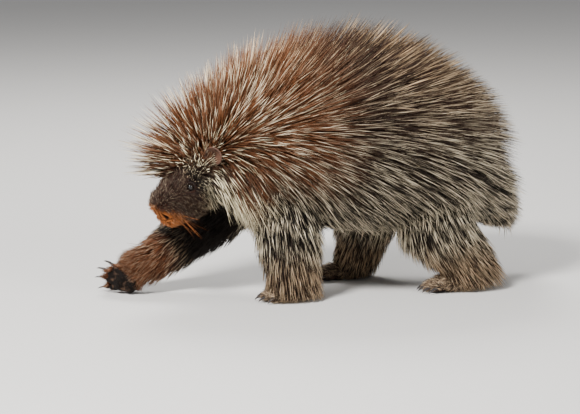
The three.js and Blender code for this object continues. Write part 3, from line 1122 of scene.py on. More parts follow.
@dataclass
class Skin:
    """One closed skin over body, legs, feet and tail, with the face worked into it."""

    body: Body
    voxel: float = 4.4
    face_reach: float = 88.0
    lid_lift: float = 1.3
    nostril_long: float = 10.5
    nostril_wide: float = 4.4
    nostril_taper: float = 0.2
    nostril_deep: float = 8.5
    mouth_line: float = 1.3
    mouth_deep: float = 2.6
    lip_lift: float = 1.1

    def forms(self) -> list[Form]:
        """Gives every form that the skin covers.

        Returns:
            The forms.
        """
        solid = [self.body.trunk, self.body.tail, *self.body.legs.values()]
        for foot in self.body.feet.values():
            solid += [foot.palm(), *foot.digits()]
        return solid

    def build(self) -> bpy.types.Object:
        """Models the skin and gives its object.

        Returns:
            The skin.
        """
        bm = bmesh.new()
        for form in self.forms():
            form.shape(bm, 28, 40)
        for foot in self.body.feet.values():
            for place, size in foot.pads():
                at = Matrix.Translation(Vector(place))
                bmesh.ops.create_icosphere(bm, subdivisions=2, radius=size, matrix=at)
        bmesh.ops.transform(bm, matrix=Matrix.Scale(MM, 4), verts=bm.verts)
        shift = Vector(self.body.shift) * MM
        bmesh.ops.translate(bm, vec=shift, verts=bm.verts)
        rough = from_bmesh("skin_rough", bm)
        remesh = ("REMESH", {"mode": "VOXEL", "voxel_size": self.voxel * MM})
        even = ("SMOOTH", {"factor": 0.5, "iterations": 3})
        whole = with_modifiers(rough, remesh, even)
        mesh = self.carve(whole)
        piece = new_object("skin", mesh, SkinFinish(self.body.markings()).build())
        LOG.info("skin: %d faces", len(mesh.polygons))
        return piece

    def carve(self, mesh: bpy.types.Mesh) -> bpy.types.Mesh:
        """Refines the face and works lids, nostrils, mouth and soles into the skin.

        Args:
            mesh: The even skin.

        Returns:
            The finished skin.
        """
        trunk = self.body.trunk
        muzzle = self.body.metres(trunk.path.at(0.90))[0]
        bm = bmesh.new()
        bm.from_mesh(mesh)
        for reach in (self.face_reach, self.face_reach - 12):
            near = [e for e in bm.edges if (e.verts[0].co - Vector(muzzle)).length < reach * MM]
            bmesh.ops.subdivide_edges(bm, edges=near, cuts=1, use_grid_fill=True, smooth=0.6)
        bmesh.ops.triangulate(bm, faces=[f for f in bm.faces if len(f.verts) > 4])
        bm.normal_update()
        places = np.array([v.co[:] for v in bm.verts]) / MM - self.body.shift
        normals = np.array([v.normal[:] for v in bm.verts])
        places, lid = self.lids(places)
        places, nostril_shade = self.nostrils(places, normals)
        places, lip = self.mouth(places, normals)
        # The painted shade of the mouth's line and of the nostrils' insides.
        lip = np.maximum(lip, nostril_shade)
        places[:, 2] = np.maximum(places[:, 2], 0.0)
        bare = self.soles(places, normals)
        placed = self.body.metres(places)
        for vert, place in zip(bm.verts, placed):
            vert.co = place
        bm.normal_update()
        made = from_bmesh("skin", bm)
        for name, values in (("bare", bare), ("lid", lid), ("lip", lip)):
            layer = made.attributes.new(name, "FLOAT", "POINT")
            layer.data.foreach_set("value", values.astype(np.float32))
        made.polygons.foreach_set("use_smooth", np.ones(len(made.polygons), dtype=bool))
        return made

    def lids(self, places: np.ndarray) -> tuple[np.ndarray, np.ndarray]:
        """Raises lids round each eye and opens them over the eyeball.

        Args:
            places: The skin's corners, in millimetres.

        Returns:
            The moved corners and how much each one belongs to a lid's rim.
        """
        rim = np.zeros(len(places))
        for frame in self.body.eye_frames().values():
            turn = np.array(frame.to_3x3())
            local = within(frame, places)
            far = np.linalg.norm(local, axis=1)
            ring = oval(local, *EYE_OPENING)
            near = far < 24
            out = local[:, 2] > -4
            lid = EYE_RADIUS + self.lid_lift
            bulge = lid * (1 - smooth(10, 20, far)) + far * smooth(10, 20, far)
            size = np.where(near & out, np.maximum(far, bulge), far)
            open_eye = near & out & (ring < 1)
            sunk = EYE_RADIUS - 1.6
            edge = smooth(0.82, 1.0, ring)
            size = np.where(open_eye, sunk + (lid - sunk) * edge, size)
            crease = np.exp(-(((ring - 1.75) / 0.16) ** 2)) * (far < 18) * out
            size = size - crease * 0.8
            moved = local * (size / np.maximum(far, 1e-6))[:, None]
            places = np.where((near & out)[:, None], moved @ turn.T + np.array(frame.translation), places)
            rim = np.maximum(rim, np.exp(-(((ring - 1.12) / 0.3) ** 2)) * near * out)
        return places, rim

    def nostrils(self, places: np.ndarray, normals: np.ndarray) -> tuple[np.ndarray, np.ndarray]:
        """Presses in two comma-shaped nostrils with soft rims.

        Args:
            places: The skin's corners, in millimetres.
            normals: Their normals.

        Returns:
            The moved corners and how much painted shade each one gets inside a nostril.
        """
        dark = np.zeros(len(places))
        for turn in (NOSTRIL_TURN, math.pi - NOSTRIL_TURN):
            frame = self.body.trunk.surface_frame(NOSTRIL_AT, turn)
            out = np.array(frame.to_3x3())[:, 2]
            slit = NOSTRIL_WAY - out * (NOSTRIL_WAY @ out)
            slit = slit / np.linalg.norm(slit)
            axes = np.stack([slit, np.cross(out, slit), out], axis=1)
            local = (places - np.array(frame.translation)) @ axes
            half = self.nostril_wide - self.nostril_taper * local[:, 0].clip(-10, 10)
            ring = oval(local, self.nostril_long, half)
            near = np.abs(local[:, 2]) < 12
            rim = np.exp(-(((ring - 1.5) / 0.4) ** 2))
            sink = -self.nostril_deep * (1 - smooth(0.35, 1.0, ring)) + 1.5 * rim
            places = places + normals * (sink * near)[:, None]
            # Painted shade inside the nostril.
            dark = np.maximum(dark, (1 - smooth(0.75, 1.15, ring)) * near)
        return places, dark

    def mouth(self, places: np.ndarray, normals: np.ndarray) -> tuple[np.ndarray, np.ndarray]:
        """Draws the line of the mouth between two soft lips.

        Args:
            places: The skin's corners, in millimetres.
            normals: Their normals.

        Returns:
            The moved corners and how much painted shade each one gets in the line between the lips.
        """
        middle, along, side, up = (rows[0] for rows in self.body.trunk.axes(np.array([MOUTH_AT])))
        local = (places - (middle - MOUTH_DROP * up)) @ np.stack([side, along, up], axis=1)
        ahead = smooth(-22, -8, local[:, 1]) * (np.linalg.norm(local, axis=1) < 48)
        # The line between the lips is pressed in and gets painted shade.
        line = np.exp(-((local[:, 2] / self.mouth_line) ** 2)) * ahead
        lips = np.exp(-(((np.abs(local[:, 2]) - 3.4) / 2.0) ** 2)) * ahead
        places = places + normals * (self.lip_lift * lips - self.mouth_deep * line)[:, None]
        return places, line

    def soles(self, places: np.ndarray, normals: np.ndarray) -> np.ndarray:
        """Gives how bare the skin is: fully under the feet and not at all elsewhere.

        Args:
            places: The skin's corners, in millimetres.
            normals: Their normals.

        Returns:
            A share for each corner.
        """
        bare = np.zeros(len(places))
        for foot in self.body.feet.values():
            local = (places - np.array(foot.at)) @ foot.matrix[:3, :3]
            facing = -(normals @ foot.matrix[:3, 2])
            reach = np.abs(local[:, 1]) < foot.length / 2 + 22
            level = (local[:, 2] < 13) & (np.abs(local[:, 0]) < foot.wide + 14)
            bare = np.maximum(bare, smooth(-0.15, 0.25, facing) * reach * level)
        return bare


@dataclass
class Strands:
    """The shape of one kind of strand and how it is coloured."""

    count: int
    radius: float
    rings: int = 3
    reach: tuple[float, float] = (0.82, 1.08)
    pale: tuple[float, float] = (0.52, 1.75)
    ruffle: float = 0.13
    clump: float = 0.35
    bulge: float = 1.0
    bold: float = 0.0


@dataclass
class Roots:
    """Where strands root, which way they lie and how deep the coat is there."""

    places: np.ndarray
    out: np.ndarray
    flat: np.ndarray
    stand: np.ndarray
    depth: np.ndarray
    chart: np.ndarray

    def take(self, picked: np.ndarray) -> Roots:
        """Gives only the picked roots."""
        rows = (self.places, self.out, self.flat, self.stand, self.depth, self.chart)
        return Roots(*(row[picked] for row in rows))


@dataclass
class Coat:
    """The whole coat: guard hair, underfur, short fur and quills."""

    body: Body
    skin: bpy.types.Object
    box: tuple[Triple, Triple]
    margin: float = 9.0
    seed: int = 7

    def __post_init__(self) -> None:
        """Reads the skin's triangles and seeds the draws."""
        self.random = np.random.default_rng(self.seed)
        mesh = self.skin.data
        mesh.calc_loop_triangles()
        corners = np.empty(len(mesh.loop_triangles) * 3, dtype=np.int32)
        mesh.loop_triangles.foreach_get("vertices", corners)
        self.corners = corners.reshape(-1, 3)
        places = np.empty(len(mesh.vertices) * 3)
        mesh.vertices.foreach_get("co", places)
        self.places = places.reshape(-1, 3) / MM - self.body.shift
        normals = np.empty(len(mesh.vertices) * 3, dtype=np.float32)
        mesh.vertices.foreach_get("normal", normals)
        self.normals = normals.reshape(-1, 3)
        a, b, c = (self.places[self.corners[:, i]] for i in range(3))
        self.areas = np.linalg.norm(np.cross(b - a, c - a), axis=1) / 2
        self.forms = [self.body.trunk, self.body.tail, *self.body.legs.values()]
        self.palms = [foot.palm() for foot in self.body.feet.values()]

    def scatter(self, count: int) -> Roots:
        """Draws roots evenly over the skin.

        Args:
            count: How many to draw before any are left out.

        Returns:
            The roots, without those on soles, eyes and nostrils.
        """
        picked = self.random.choice(len(self.areas), count, p=self.areas / self.areas.sum())
        w = self.random.random((count, 2))
        flip = w.sum(axis=1) > 1
        w[flip] = 1 - w[flip]
        w = np.column_stack([1 - w.sum(axis=1), w])[:, :, None]
        rows = self.corners[picked]
        places = (self.places[rows] * w).sum(axis=1)
        out = unit((self.normals[rows] * w).sum(axis=1))
        keep = self.furred(places, out)
        return self.comb(places[keep], out[keep])

    def furred(self, places: np.ndarray, out: np.ndarray) -> np.ndarray:
        """Tells which places carry hair.

        Args:
            places: Places on the skin, in millimetres.
            out: The skin's normals there.

        Returns:
            True for each place that does.
        """
        keep = np.ones(len(places), dtype=bool)
        for frame in self.body.eye_frames().values():
            local = within(frame, places)
            keep &= (oval(local, *EYE_BARE) > 1) | (np.linalg.norm(local, axis=1) > 22)
        for turn in (NOSTRIL_TURN, math.pi - NOSTRIL_TURN):
            spot = np.array(self.body.trunk.surface_frame(NOSTRIL_AT, turn).translation)
            keep &= np.linalg.norm(places - spot, axis=1) > NOSTRIL_BARE
        for foot in self.body.feet.values():
            local = (places - np.array(foot.at)) @ foot.matrix[:3, :3]
            under = (-(out @ foot.matrix[:3, 2]) > -0.05) & (local[:, 2] < 14)
            reach = (np.abs(local[:, 1]) < foot.length / 2 + 24) & (np.abs(local[:, 0]) < foot.wide + 14)
            keep &= ~(under & reach)
            tip = local[:, 1] < -foot.length / 2 - 8
            keep &= ~(tip & reach & (local[:, 2] < 20))
        return keep

    def comb(self, places: np.ndarray, out: np.ndarray) -> Roots:
        """Works out how the coat lies at each root, blended where two forms meet.

        Args:
            places: The roots, in millimetres.
            out: The skin's normals there.

        Returns:
            The roots with their lie.
        """
        count = len(places)
        total = np.full(count, 1e-9)
        flat = np.zeros((count, 3))
        stand = np.zeros(count)
        depth = np.zeros(count)
        best = np.zeros(count)
        chart = np.zeros((count, 3))
        for index, form in enumerate([*self.forms, *self.palms]):
            t, turn, gap = self.locate(form, places)
            weight = np.exp(-np.maximum(gap, 0) / 9.0)
            way, steep, deep = self.lie(form, t, turn)
            total += weight
            flat += way * weight[:, None]
            stand += steep * weight
            depth += deep * weight
            wins = weight > best
            best = np.where(wins, weight, best)
            chart[wins] = np.column_stack([np.full(count, index), t, turn])[wins]
        flat = flat - out * (flat * out).sum(axis=1, keepdims=True)
        depth = depth / total
        for turn in (SIDE_TURN, math.pi - SIDE_TURN):
            ear = np.array(self.body.trunk.surface_frame(EAR_AT, turn).translation)
            gap = np.linalg.norm(places - ear, axis=1)
            depth = depth * (1 - 0.9 * np.exp(-((gap / 26.0) ** 2)))
        for frame in self.body.eye_frames().values():
            away = places - np.array(frame.translation)
            near = np.exp(-((np.linalg.norm(away, axis=1) / 17.0) ** 2))
            depth = depth * (1 - 0.72 * near)
            flat = unit(flat) + unit(away) * (1.6 * near)[:, None]
            flat = flat - out * (flat * out).sum(axis=1, keepdims=True)
        return Roots(places, out, unit(flat), stand / total, depth, chart)

    @staticmethod
    def locate(form: Form, places: np.ndarray) -> tuple[np.ndarray, np.ndarray, np.ndarray]:
        """Finds the place along a form and the turn round it nearest to each place.

        Args:
            form: The form to search.
            places: Places in millimetres.

        Returns:
            The place along, the turn, and the clearance from the form's skin.
        """
        if form.matrix is not None:
            places = (places - form.matrix[:3, 3]) @ form.matrix[:3, :3]
        first, last = form.caps
        stops = np.linspace(first * 0.5, 1 - last * 0.5, 121)
        middles = form.path.at(stops)
        t = np.empty(len(places))
        for start in range(0, len(places), 20000):
            part = places[start : start + 20000]
            gaps = ((part[:, None, :] - middles[None]) ** 2).sum(axis=2)
            t[start : start + 20000] = stops[gaps.argmin(axis=1)]
        middle, along, side, up = form.axes(t)
        away = places - middle
        radii = form.radii.at(t)
        high = (away * up).sum(axis=1)
        wide = (away * side).sum(axis=1)
        ahead = (away * along).sum(axis=1)
        tall = np.where(high > 0, radii[:, 1], radii[:, 2])
        ratio = np.sqrt((wide / radii[:, 0]) ** 2 + (high / tall) ** 2 + (ahead / radii[:, 0]) ** 2)
        gap = np.linalg.norm(away, axis=1) * (1 - 1 / np.maximum(ratio, 1e-3))
        return t, np.arctan2(high / tall, wide / radii[:, 0]), gap

    @staticmethod
    def lie(form: Form, t: np.ndarray, turn: np.ndarray) -> tuple[np.ndarray, np.ndarray, np.ndarray]:
        """Gives the way, the steepness and the depth of the coat on a form.

        Args:
            form: The form.
            t: Places along it.
            turn: Turns round it.

        Returns:
            Directions along the skin, angles in degrees and depths in millimetres.
        """
        rise = np.sin(turn)
        along = form.path.along(t)
        depth = form.depth(t, rise)
        if form.matrix is not None:
            along = along @ form.matrix[:3, :3].T
        if form.lie is Lie.LIMB:
            return along, np.full(len(t), STAND_LIMB), depth
        steps = np.linspace(0, 1, len(STAND_TOP))
        side = np.interp(t, steps, STAND_SIDE)
        far = np.where(rise > 0, np.interp(t, steps, STAND_TOP), np.interp(t, steps, STAND_UNDER))
        reach = np.exp(-(((t - FRINGE_AT) / FRINGE_REACH) ** 2))
        flare = np.maximum(0.0, np.cos(turn - FRINGE_TURN)) * reach
        stand = side + (far - side) * rise * rise + FRINGE_LEAN * flare
        cheek = 1 + 1.3 * smooth(0.53, 0.645, t)
        beside = np.cos(turn) ** 2
        droop = beside * np.clip(0.55 - 0.45 * rise, 0, 0.95) * (1 - flare) * cheek
        way = -along + droop[:, None] * DOWN
        edge = 0.03 * smooth(-0.1, 0.5, -rise)
        near = smooth(0.705 + edge, 0.755 + edge, t) * smooth(-0.35, 0.25, -np.cos(turn))
        jowl = smooth(0.55, 0.64, t) * (1 - smooth(0.76, 0.80, t)) * smooth(0.55, 0.1, rise)
        stand = stand * (1 - JOWL_FLAT * jowl * beside) + JOWL_UNDER * jowl * rise * rise
        way = way + (JOWL_HANG * jowl * beside)[:, None] * DOWN
        depth = depth * (1 + FRINGE_MORE * flare) * (1 + JOWL_MORE * jowl * beside)
        depth = depth + (np.minimum(depth, 9.0) - depth) * near
        return way, stand, depth

    def curves(self, roots: Roots, kind: Strands) -> np.ndarray:
        """Gives the three control points of every strand.

        Args:
            roots: Where the strands root.
            kind: What they are like.

        Returns:
            An array of roots, bends and tips.
        """
        count = len(roots.places)
        low, high = kind.reach
        reach = low + (high - low) * self.random.random(count) ** 0.8
        steep = np.radians(roots.stand)
        length = reach * roots.depth / np.sin(np.minimum(steep, math.pi / 2))
        shake = self.random.normal(0.0, kind.ruffle, (count, 2, 3))
        bend = self.lean(roots, steep + BEND) + shake[:, 0]
        end = self.lean(roots, steep - BEND) + shake[:, 0] + shake[:, 1] * 0.6
        middle = roots.places + unit(bend) * (length / 2)[:, None]
        tips = middle + unit(end) * (length / 2)[:, None]
        points = np.stack([roots.places - roots.out * 1.5, middle, tips], axis=1)
        points = self.hold(self.gather(points, kind.clump), roots, kind)
        points[:, 1, 2] = np.maximum(points[:, 1, 2], FLOOR_CLEAR + 2)
        points[:, 2, 2] = np.maximum(points[:, 2, 2], FLOOR_CLEAR)
        return points

    def hold(self, points: np.ndarray, roots: Roots, kind: Strands) -> np.ndarray:
        """Shortens strands that would stand out of the coat or past the solids' box.

        Args:
            points: The control points of every strand.
            roots: Their roots.
            kind: What they are like.

        Returns:
            The control points, none of them too far out.
        """
        root = points[:, :1]
        rise = ((points[:, 2] - points[:, 0]) * roots.out).sum(axis=1)
        share = np.minimum(1.0, (roots.depth * kind.reach[1] + 2) / np.maximum(rise, 1e-6))
        low, high = (np.array(corner) / MM - self.body.shift for corner in self.box)
        ahead = points[:, 2] - points[:, 0]
        over = np.where(ahead > 0, high + self.margin - points[:, 0], low - self.margin - points[:, 0])
        room = np.where(np.abs(ahead) > 1e-6, over / np.where(np.abs(ahead) > 1e-6, ahead, 1.0), 9.0)
        room[:, 2] = np.where(ahead[:, 2] > 0, room[:, 2], 9.0)
        room = room.min(axis=1)
        room = np.where(room < 1, room * (0.75 + 0.25 * self.random.random(len(room))), 1.0)
        share = np.clip(np.minimum(share, room), 0.15, 1.0)
        return root + (points - root) * share[:, None, None]

    @staticmethod
    def lean(roots: Roots, angle: np.ndarray) -> np.ndarray:
        """Gives directions that rise from the lie of the coat by an angle."""
        return roots.flat * np.cos(angle)[:, None] + roots.out * np.sin(angle)[:, None]

    def gather(self, points: np.ndarray, share: float) -> np.ndarray:
        """Draws strands together into loose locks.

        Args:
            points: The control points of every strand.
            share: How far a strand's tip moves toward that of its lock.

        Returns:
            The moved control points.
        """
        if share <= 0 or len(points) < 40:
            return points
        leaders = self.random.choice(len(points), max(2, len(points) // 16), replace=False)
        tree = kdtree.KDTree(len(leaders))
        for i, leader in enumerate(leaders):
            tree.insert(points[leader, 0], i)
        tree.balance()
        nearest = leaders[[tree.find(place)[1] for place in points[:, 0]]]
        spread = points[:, 0] - points[nearest, 0]
        pull = share * (0.6 + 0.4 * self.random.random(len(points)))[:, None]
        for step, part in ((1, 0.4), (2, 1.0)):
            goal = points[nearest, step] + spread * 0.45
            points[:, step] += (goal - points[:, step]) * pull * part
        return points

    def mesh(self, name: str, points: np.ndarray, roots: Roots, kind: Strands) -> bpy.types.Mesh:
        """Makes closed three-sided strands along curves, from arrays.

        Args:
            name: The mesh's name.
            points: The control points of every strand.
            roots: The strands' roots.
            kind: What the strands are like.

        Returns:
            The mesh, with its attributes and its bake map.
        """
        count, rings = len(points), kind.rings
        pale = self.starts(roots, kind)
        share = np.linspace(0, 1, rings + 1)[:rings]
        size = TAPER[:rings] * np.where(share == 0, 1.0, kind.bulge)
        full = np.concatenate([share, [1.0]])
        a, b, c = (points[:, i][:, None, :] for i in range(3))
        s = full[None, :, None]
        spine = a * (1 - s) ** 2 + 2 * b * s * (1 - s) + c * s * s
        way = unit(2 * (b - a) * (1 - s) + 2 * (c - b) * s)[:, :rings]
        side = unit(np.cross(way, roots.out[:, None, :]))
        top = np.cross(side, way)
        thick = kind.radius * (0.75 + 0.5 * self.random.random(count)) * (1 + kind.bold * (pale < 0.85))
        radius = thick[:, None] * size[None]
        angles = np.radians([90, 210, 330])
        ring = (
            spine[:, :rings, None, :]
            + side[:, :, None, :] * (radius[:, :, None] * np.cos(angles))[..., None]
            + top[:, :, None, :] * (radius[:, :, None] * np.sin(angles))[..., None]
        )
        verts = np.concatenate([ring.reshape(count, rings * 3, 3), spine[:, -1:, :]], axis=1)
        each = rings * 3 + 1
        faces, chart, closed = self.pattern(rings)
        start = (np.arange(count) * each)[:, None]
        loops = (faces[None] + start).ravel()
        totals = np.tile(closed, count)
        mesh = bpy.data.meshes.new(name)
        mesh.vertices.add(count * each)
        mesh.vertices.foreach_set("co", self.body.metres(verts.reshape(-1, 3)).astype(np.float32).ravel())
        mesh.loops.add(len(loops))
        mesh.loops.foreach_set("vertex_index", loops.astype(np.int32))
        mesh.polygons.add(len(totals))
        starts = np.concatenate([[0], np.cumsum(totals)[:-1]])
        mesh.polygons.foreach_set("loop_start", starts.astype(np.int32))
        mesh.polygons.foreach_set("use_smooth", np.ones(len(totals), dtype=bool))
        self.paint(mesh, roots, pale, full, each)
        self.unwrap(mesh, roots, chart)
        mesh.update(calc_edges=True)
        return mesh

    @staticmethod
    def pattern(rings: int) -> tuple[np.ndarray, np.ndarray, np.ndarray]:
        """Gives one strand's faces: a closed root, sides and a point.

        Args:
            rings: How many rings a strand has.

        Returns:
            The corners of all faces in a row, each corner's place on the strand's patch, and the
            number of corners of each face.
        """
        faces, chart, totals = [2, 1, 0], [(0.67, 0.0), (0.33, 0.0), (0.0, 0.0)], [3]
        for row in range(rings - 1):
            for i in range(3):
                j = (i + 1) % 3
                low, high = row * 3, row * 3 + 3
                faces += [low + i, low + j, high + j, high + i]
                left, right = i / 3, (i + 1) / 3
                bottom, top = row / rings, (row + 1) / rings
                chart += [(left, bottom), (right, bottom), (right, top), (left, top)]
                totals.append(4)
        last = (rings - 1) * 3
        for i in range(3):
            faces += [last + i, last + (i + 1) % 3, rings * 3]
            chart += [(i / 3, 1 - 1 / rings), ((i + 1) / 3, 1 - 1 / rings), ((i + 0.5) / 3, 1.0)]
            totals.append(3)
        return np.array(faces), np.array(chart), np.array(totals)

    def starts(self, roots: Roots, kind: Strands) -> np.ndarray:
        """Draws how far along each strand its pale tip starts, past 1 where it has none.

        Args:
            roots: The strands' roots.
            kind: What the strands are like.

        Returns:
            A share of its length for each strand.
        """
        low, high = kind.pale
        starts = low + (high - low) * self.random.random(len(roots.places))
        return starts - 0.7 * self.paleness(roots)

    def paint(self, mesh: bpy.types.Mesh, roots: Roots, starts: np.ndarray, full: np.ndarray,
              each: int) -> None:
        """Writes what the finish reads: the share along, a tone, where the tip pales and the root.

        Args:
            mesh: The strands' mesh.
            roots: The strands' roots.
            starts: Where each tip starts to pale.
            full: The share along of each ring and of the point.
            each: How many corners a strand has.
        """
        count = len(roots.places)
        along = np.concatenate([np.repeat(full[:-1], 3), full[-1:]])
        values = {
            "along": np.tile(along, count),
            "tone": np.repeat(self.random.random(count), each),
            "pale": np.repeat(starts, each),
        }
        for name, row in values.items():
            layer = mesh.attributes.new(name, "FLOAT", "POINT")
            layer.data.foreach_set("value", row.astype(np.float32))
        layer = mesh.attributes.new("root", "FLOAT_VECTOR", "POINT")
        rows = np.repeat(self.body.metres(roots.places), each, axis=0)
        layer.data.foreach_set("vector", rows.astype(np.float32).ravel())

    def paleness(self, roots: Roots) -> np.ndarray:
        """Gives how much paler the tips are: most on the cheeks and the fringe beside the head.

        Args:
            roots: The strands' roots.

        Returns:
            How much sooner each tip starts to pale.
        """
        trunk = roots.chart[:, 0] == 0
        t, turn = roots.chart[:, 1], roots.chart[:, 2]
        cheek = np.exp(-(((t - 0.70) / 0.07) ** 2)) * np.clip(0.6 - np.sin(turn), 0, 1)
        fringe = np.exp(-(((t - FRINGE_AT) / FRINGE_REACH) ** 2)) * np.clip(np.cos(turn), 0, 1)
        low = 0.25 * (1 - smooth(150, 260, roots.places[:, 2]))
        ear = np.array(self.body.trunk.surface_frame(EAR_AT + 0.02, math.pi - SIDE_TURN - 0.25).translation)
        tuft = 0.9 * np.exp(-((np.linalg.norm(roots.places - ear, axis=1) / 9.0) ** 2))
        middle = smooth(-60, 0, roots.places[:, 1]) * (1 - smooth(60, 150, roots.places[:, 1]))
        high = 0.3 * smooth(280, 400, roots.places[:, 2]) * middle
        return np.maximum(np.maximum(np.maximum(cheek, fringe) * trunk, low), tuft) - high

    def unwrap(self, mesh: bpy.types.Mesh, roots: Roots, chart: np.ndarray) -> None:
        """Lays each strand as a small patch at its root's place on a map of the skin.

        Args:
            mesh: The strands' mesh.
            roots: The strands' roots, with their places on the forms.
            chart: Each corner's place on a strand's patch.
        """
        # The trunk has the left two thirds of the map. Tail, legs and palms have a strip each beside it.
        form, t, turn = roots.chart.T
        round_share = (turn + math.pi) / (2 * math.pi)
        trunk = form == 0
        u = np.where(trunk, 0.02 + 0.62 * t, 0.67 + 0.30 * t)
        slot = np.maximum(form - 1, 0)
        v = np.where(trunk, 0.02 + 0.95 * round_share, 0.02 + (slot + round_share * 0.94) * 0.105)
        origin = np.column_stack([u, v])[:, None, :]
        patch = origin + (chart[None] - 0.5) * PATCH
        layer = mesh.uv_layers.new(name="OFBake")
        layer.data.foreach_set("uv", patch.astype(np.float32).ravel())

    def piece(self, name: str, roots: Roots, kind: Strands, material: bpy.types.Material,
              slot: str) -> bpy.types.Object:
        """Makes one piece of the coat.

        Args:
            name: The piece's name.
            roots: Where its strands root.
            kind: What they are like.
            material: Their finish.
            slot: The record's slot that the finish stands for; not used.

        Returns:
            The piece.
        """
        points = self.curves(roots, kind)
        mesh = self.mesh(name, points, roots, kind)
        made = new_object(name, mesh, material)
        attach(made, ROOT)
        LOG.info("%s: %d strands, %d faces", name, len(points), len(mesh.polygons))
        return made

    def bands(self, name: str, roots: Roots, kind: Strands, material: bpy.types.Material,
              slot: str) -> None:
        """Makes a part of the coat as bands along its forms, none with too many triangles.

        Args:
            name: The part's name.
            roots: Where its strands root.
            kind: What they are like.
            material: Their finish.
            slot: The record's slot that the finish stands for.
        """
        triangles = len(roots.places) * (6 * kind.rings - 2)
        order = np.lexsort((roots.chart[:, 1], roots.chart[:, 0]))
        for number, picked in enumerate(np.array_split(order, triangles // MOST_TRIANGLES + 1), 1):
            self.piece(f"{name}_{number}", roots.take(picked), kind, material, slot)

    def build(self) -> None:
        """Grows every part of the coat."""
        hair = CoatFinish(self.body.markings()).build()
        horn = QuillFinish().build()
        guard = Strands(count=66000, radius=0.64, rings=3, bold=0.9)
        roots = self.scatter(guard.count)
        deep = roots.depth > SHORT_COAT
        form = roots.chart[:, 0]
        trunk = form == 0
        ahead = roots.chart[:, 1] > NECK_AT
        left = roots.places[:, 0] > 0
        parts = {
            "coat_back_left": deep & trunk & ~ahead & left,
            "coat_back_right": deep & trunk & ~ahead & ~left,
            "coat_neck": deep & trunk & ahead,
            "coat_legs": deep & ~trunk,
        }
        for name, picked in parts.items():
            slot = "leg_fur" if name == "coat_legs" else "coat"
            self.bands(name, roots.take(picked), guard, hair, slot)
        under = Strands(count=24000, radius=1.1, rings=2, reach=(0.42, 0.66), pale=(1.6, 3.0))
        roots = self.scatter(under.count)
        self.bands("underfur", roots.take(roots.depth > SHORT_COAT), under, hair, "coat")
        quills = Strands(count=5200, radius=0.95, rings=4, reach=(0.6, 0.86), ruffle=0.09, clump=0.0,
                         bulge=1.25)
        roots = self.scatter(quills.count)
        self.bands("quills", roots.take(roots.depth > QUILL_COAT), quills, horn, "quill")
        self.short_fur(hair)

    def short_fur(self, hair: bpy.types.Material) -> None:
        """Grows the short fur of the face and feet, and the whiskers.

        Args:
            hair: The finish of hair.
        """
        fur = Strands(count=330000, radius=0.48, rings=2, reach=(0.7, 1.7), pale=(0.5, 1.5), ruffle=0.24,
                      clump=0.45)
        roots = self.scatter(fur.count)
        short = roots.depth <= SHORT_COAT
        roots = roots.take(short)
        roots.depth = np.maximum(roots.depth, 3.2)
        roots.stand = np.minimum(roots.stand, 30.0)
        face = roots.chart[:, 0] == 0
        self.bands("fur_face", roots.take(face), fur, hair, "face")
        self.bands("fur_feet", roots.take(~face), fur, hair, "leg_fur")
        muzzle = roots.take(face & (np.abs(roots.chart[:, 1] - 0.91) < 0.035))
        whiskers = Strands(count=44, radius=0.4, rings=4, reach=(10.0, 17.0), pale=(2.0, 3.0), clump=0.0)
        sides = np.flatnonzero(np.abs(np.cos(muzzle.chart[:, 2])) > 0.75)
        picked = muzzle.take(self.random.choice(sides, whiskers.count, replace=False))
        picked.depth = np.full(whiskers.count, 2.2)
        self.piece("whiskers", picked, whiskers, hair, "face")


@dataclass
class Eye:
    """A round wet eyeball with a slightly raised cornea."""

    body: Body
    side: str
    cornea: float = 0.7
    cornea_reach: float = 5.6

    def build(self) -> bpy.types.Object:
        """Models the eye and gives its object.

        Returns:
            The eye.
        """
        frame = self.body.eye_frames()[self.side]
        bm = bmesh.new()
        bmesh.ops.create_uvsphere(bm, u_segments=40, v_segments=28, radius=EYE_RADIUS)
        for vert in bm.verts:
            off_axis = math.hypot(vert.co.x, vert.co.y)
            if vert.co.z > 0 and off_axis < self.cornea_reach:
                vert.co *= 1 + self.cornea / EYE_RADIUS * (1 - (off_axis / self.cornea_reach) ** 2)
        bmesh.ops.transform(bm, matrix=frame, verts=bm.verts)
        bmesh.ops.transform(bm, matrix=Matrix.Scale(MM, 4), verts=bm.verts)
        bmesh.ops.translate(bm, vec=Vector(self.body.shift) * MM, verts=bm.verts)
        bmesh.ops.recalc_face_normals(bm, faces=bm.faces)
        mesh = from_bmesh(f"eyeball_{self.side}", bm)
        mesh.polygons.foreach_set("use_smooth", np.ones(len(mesh.polygons), dtype=bool))
        front = self.body.spot(np.array(frame @ Vector((0, 0, EYE_RADIUS + self.cornea))))
        piece = new_object(f"eyeball_{self.side}", mesh, EyeFinish(front).build())
        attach(piece, ROOT)
        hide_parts(f"eye_{self.side}")
        LOG.info("eye %s", self.side)
        return piece


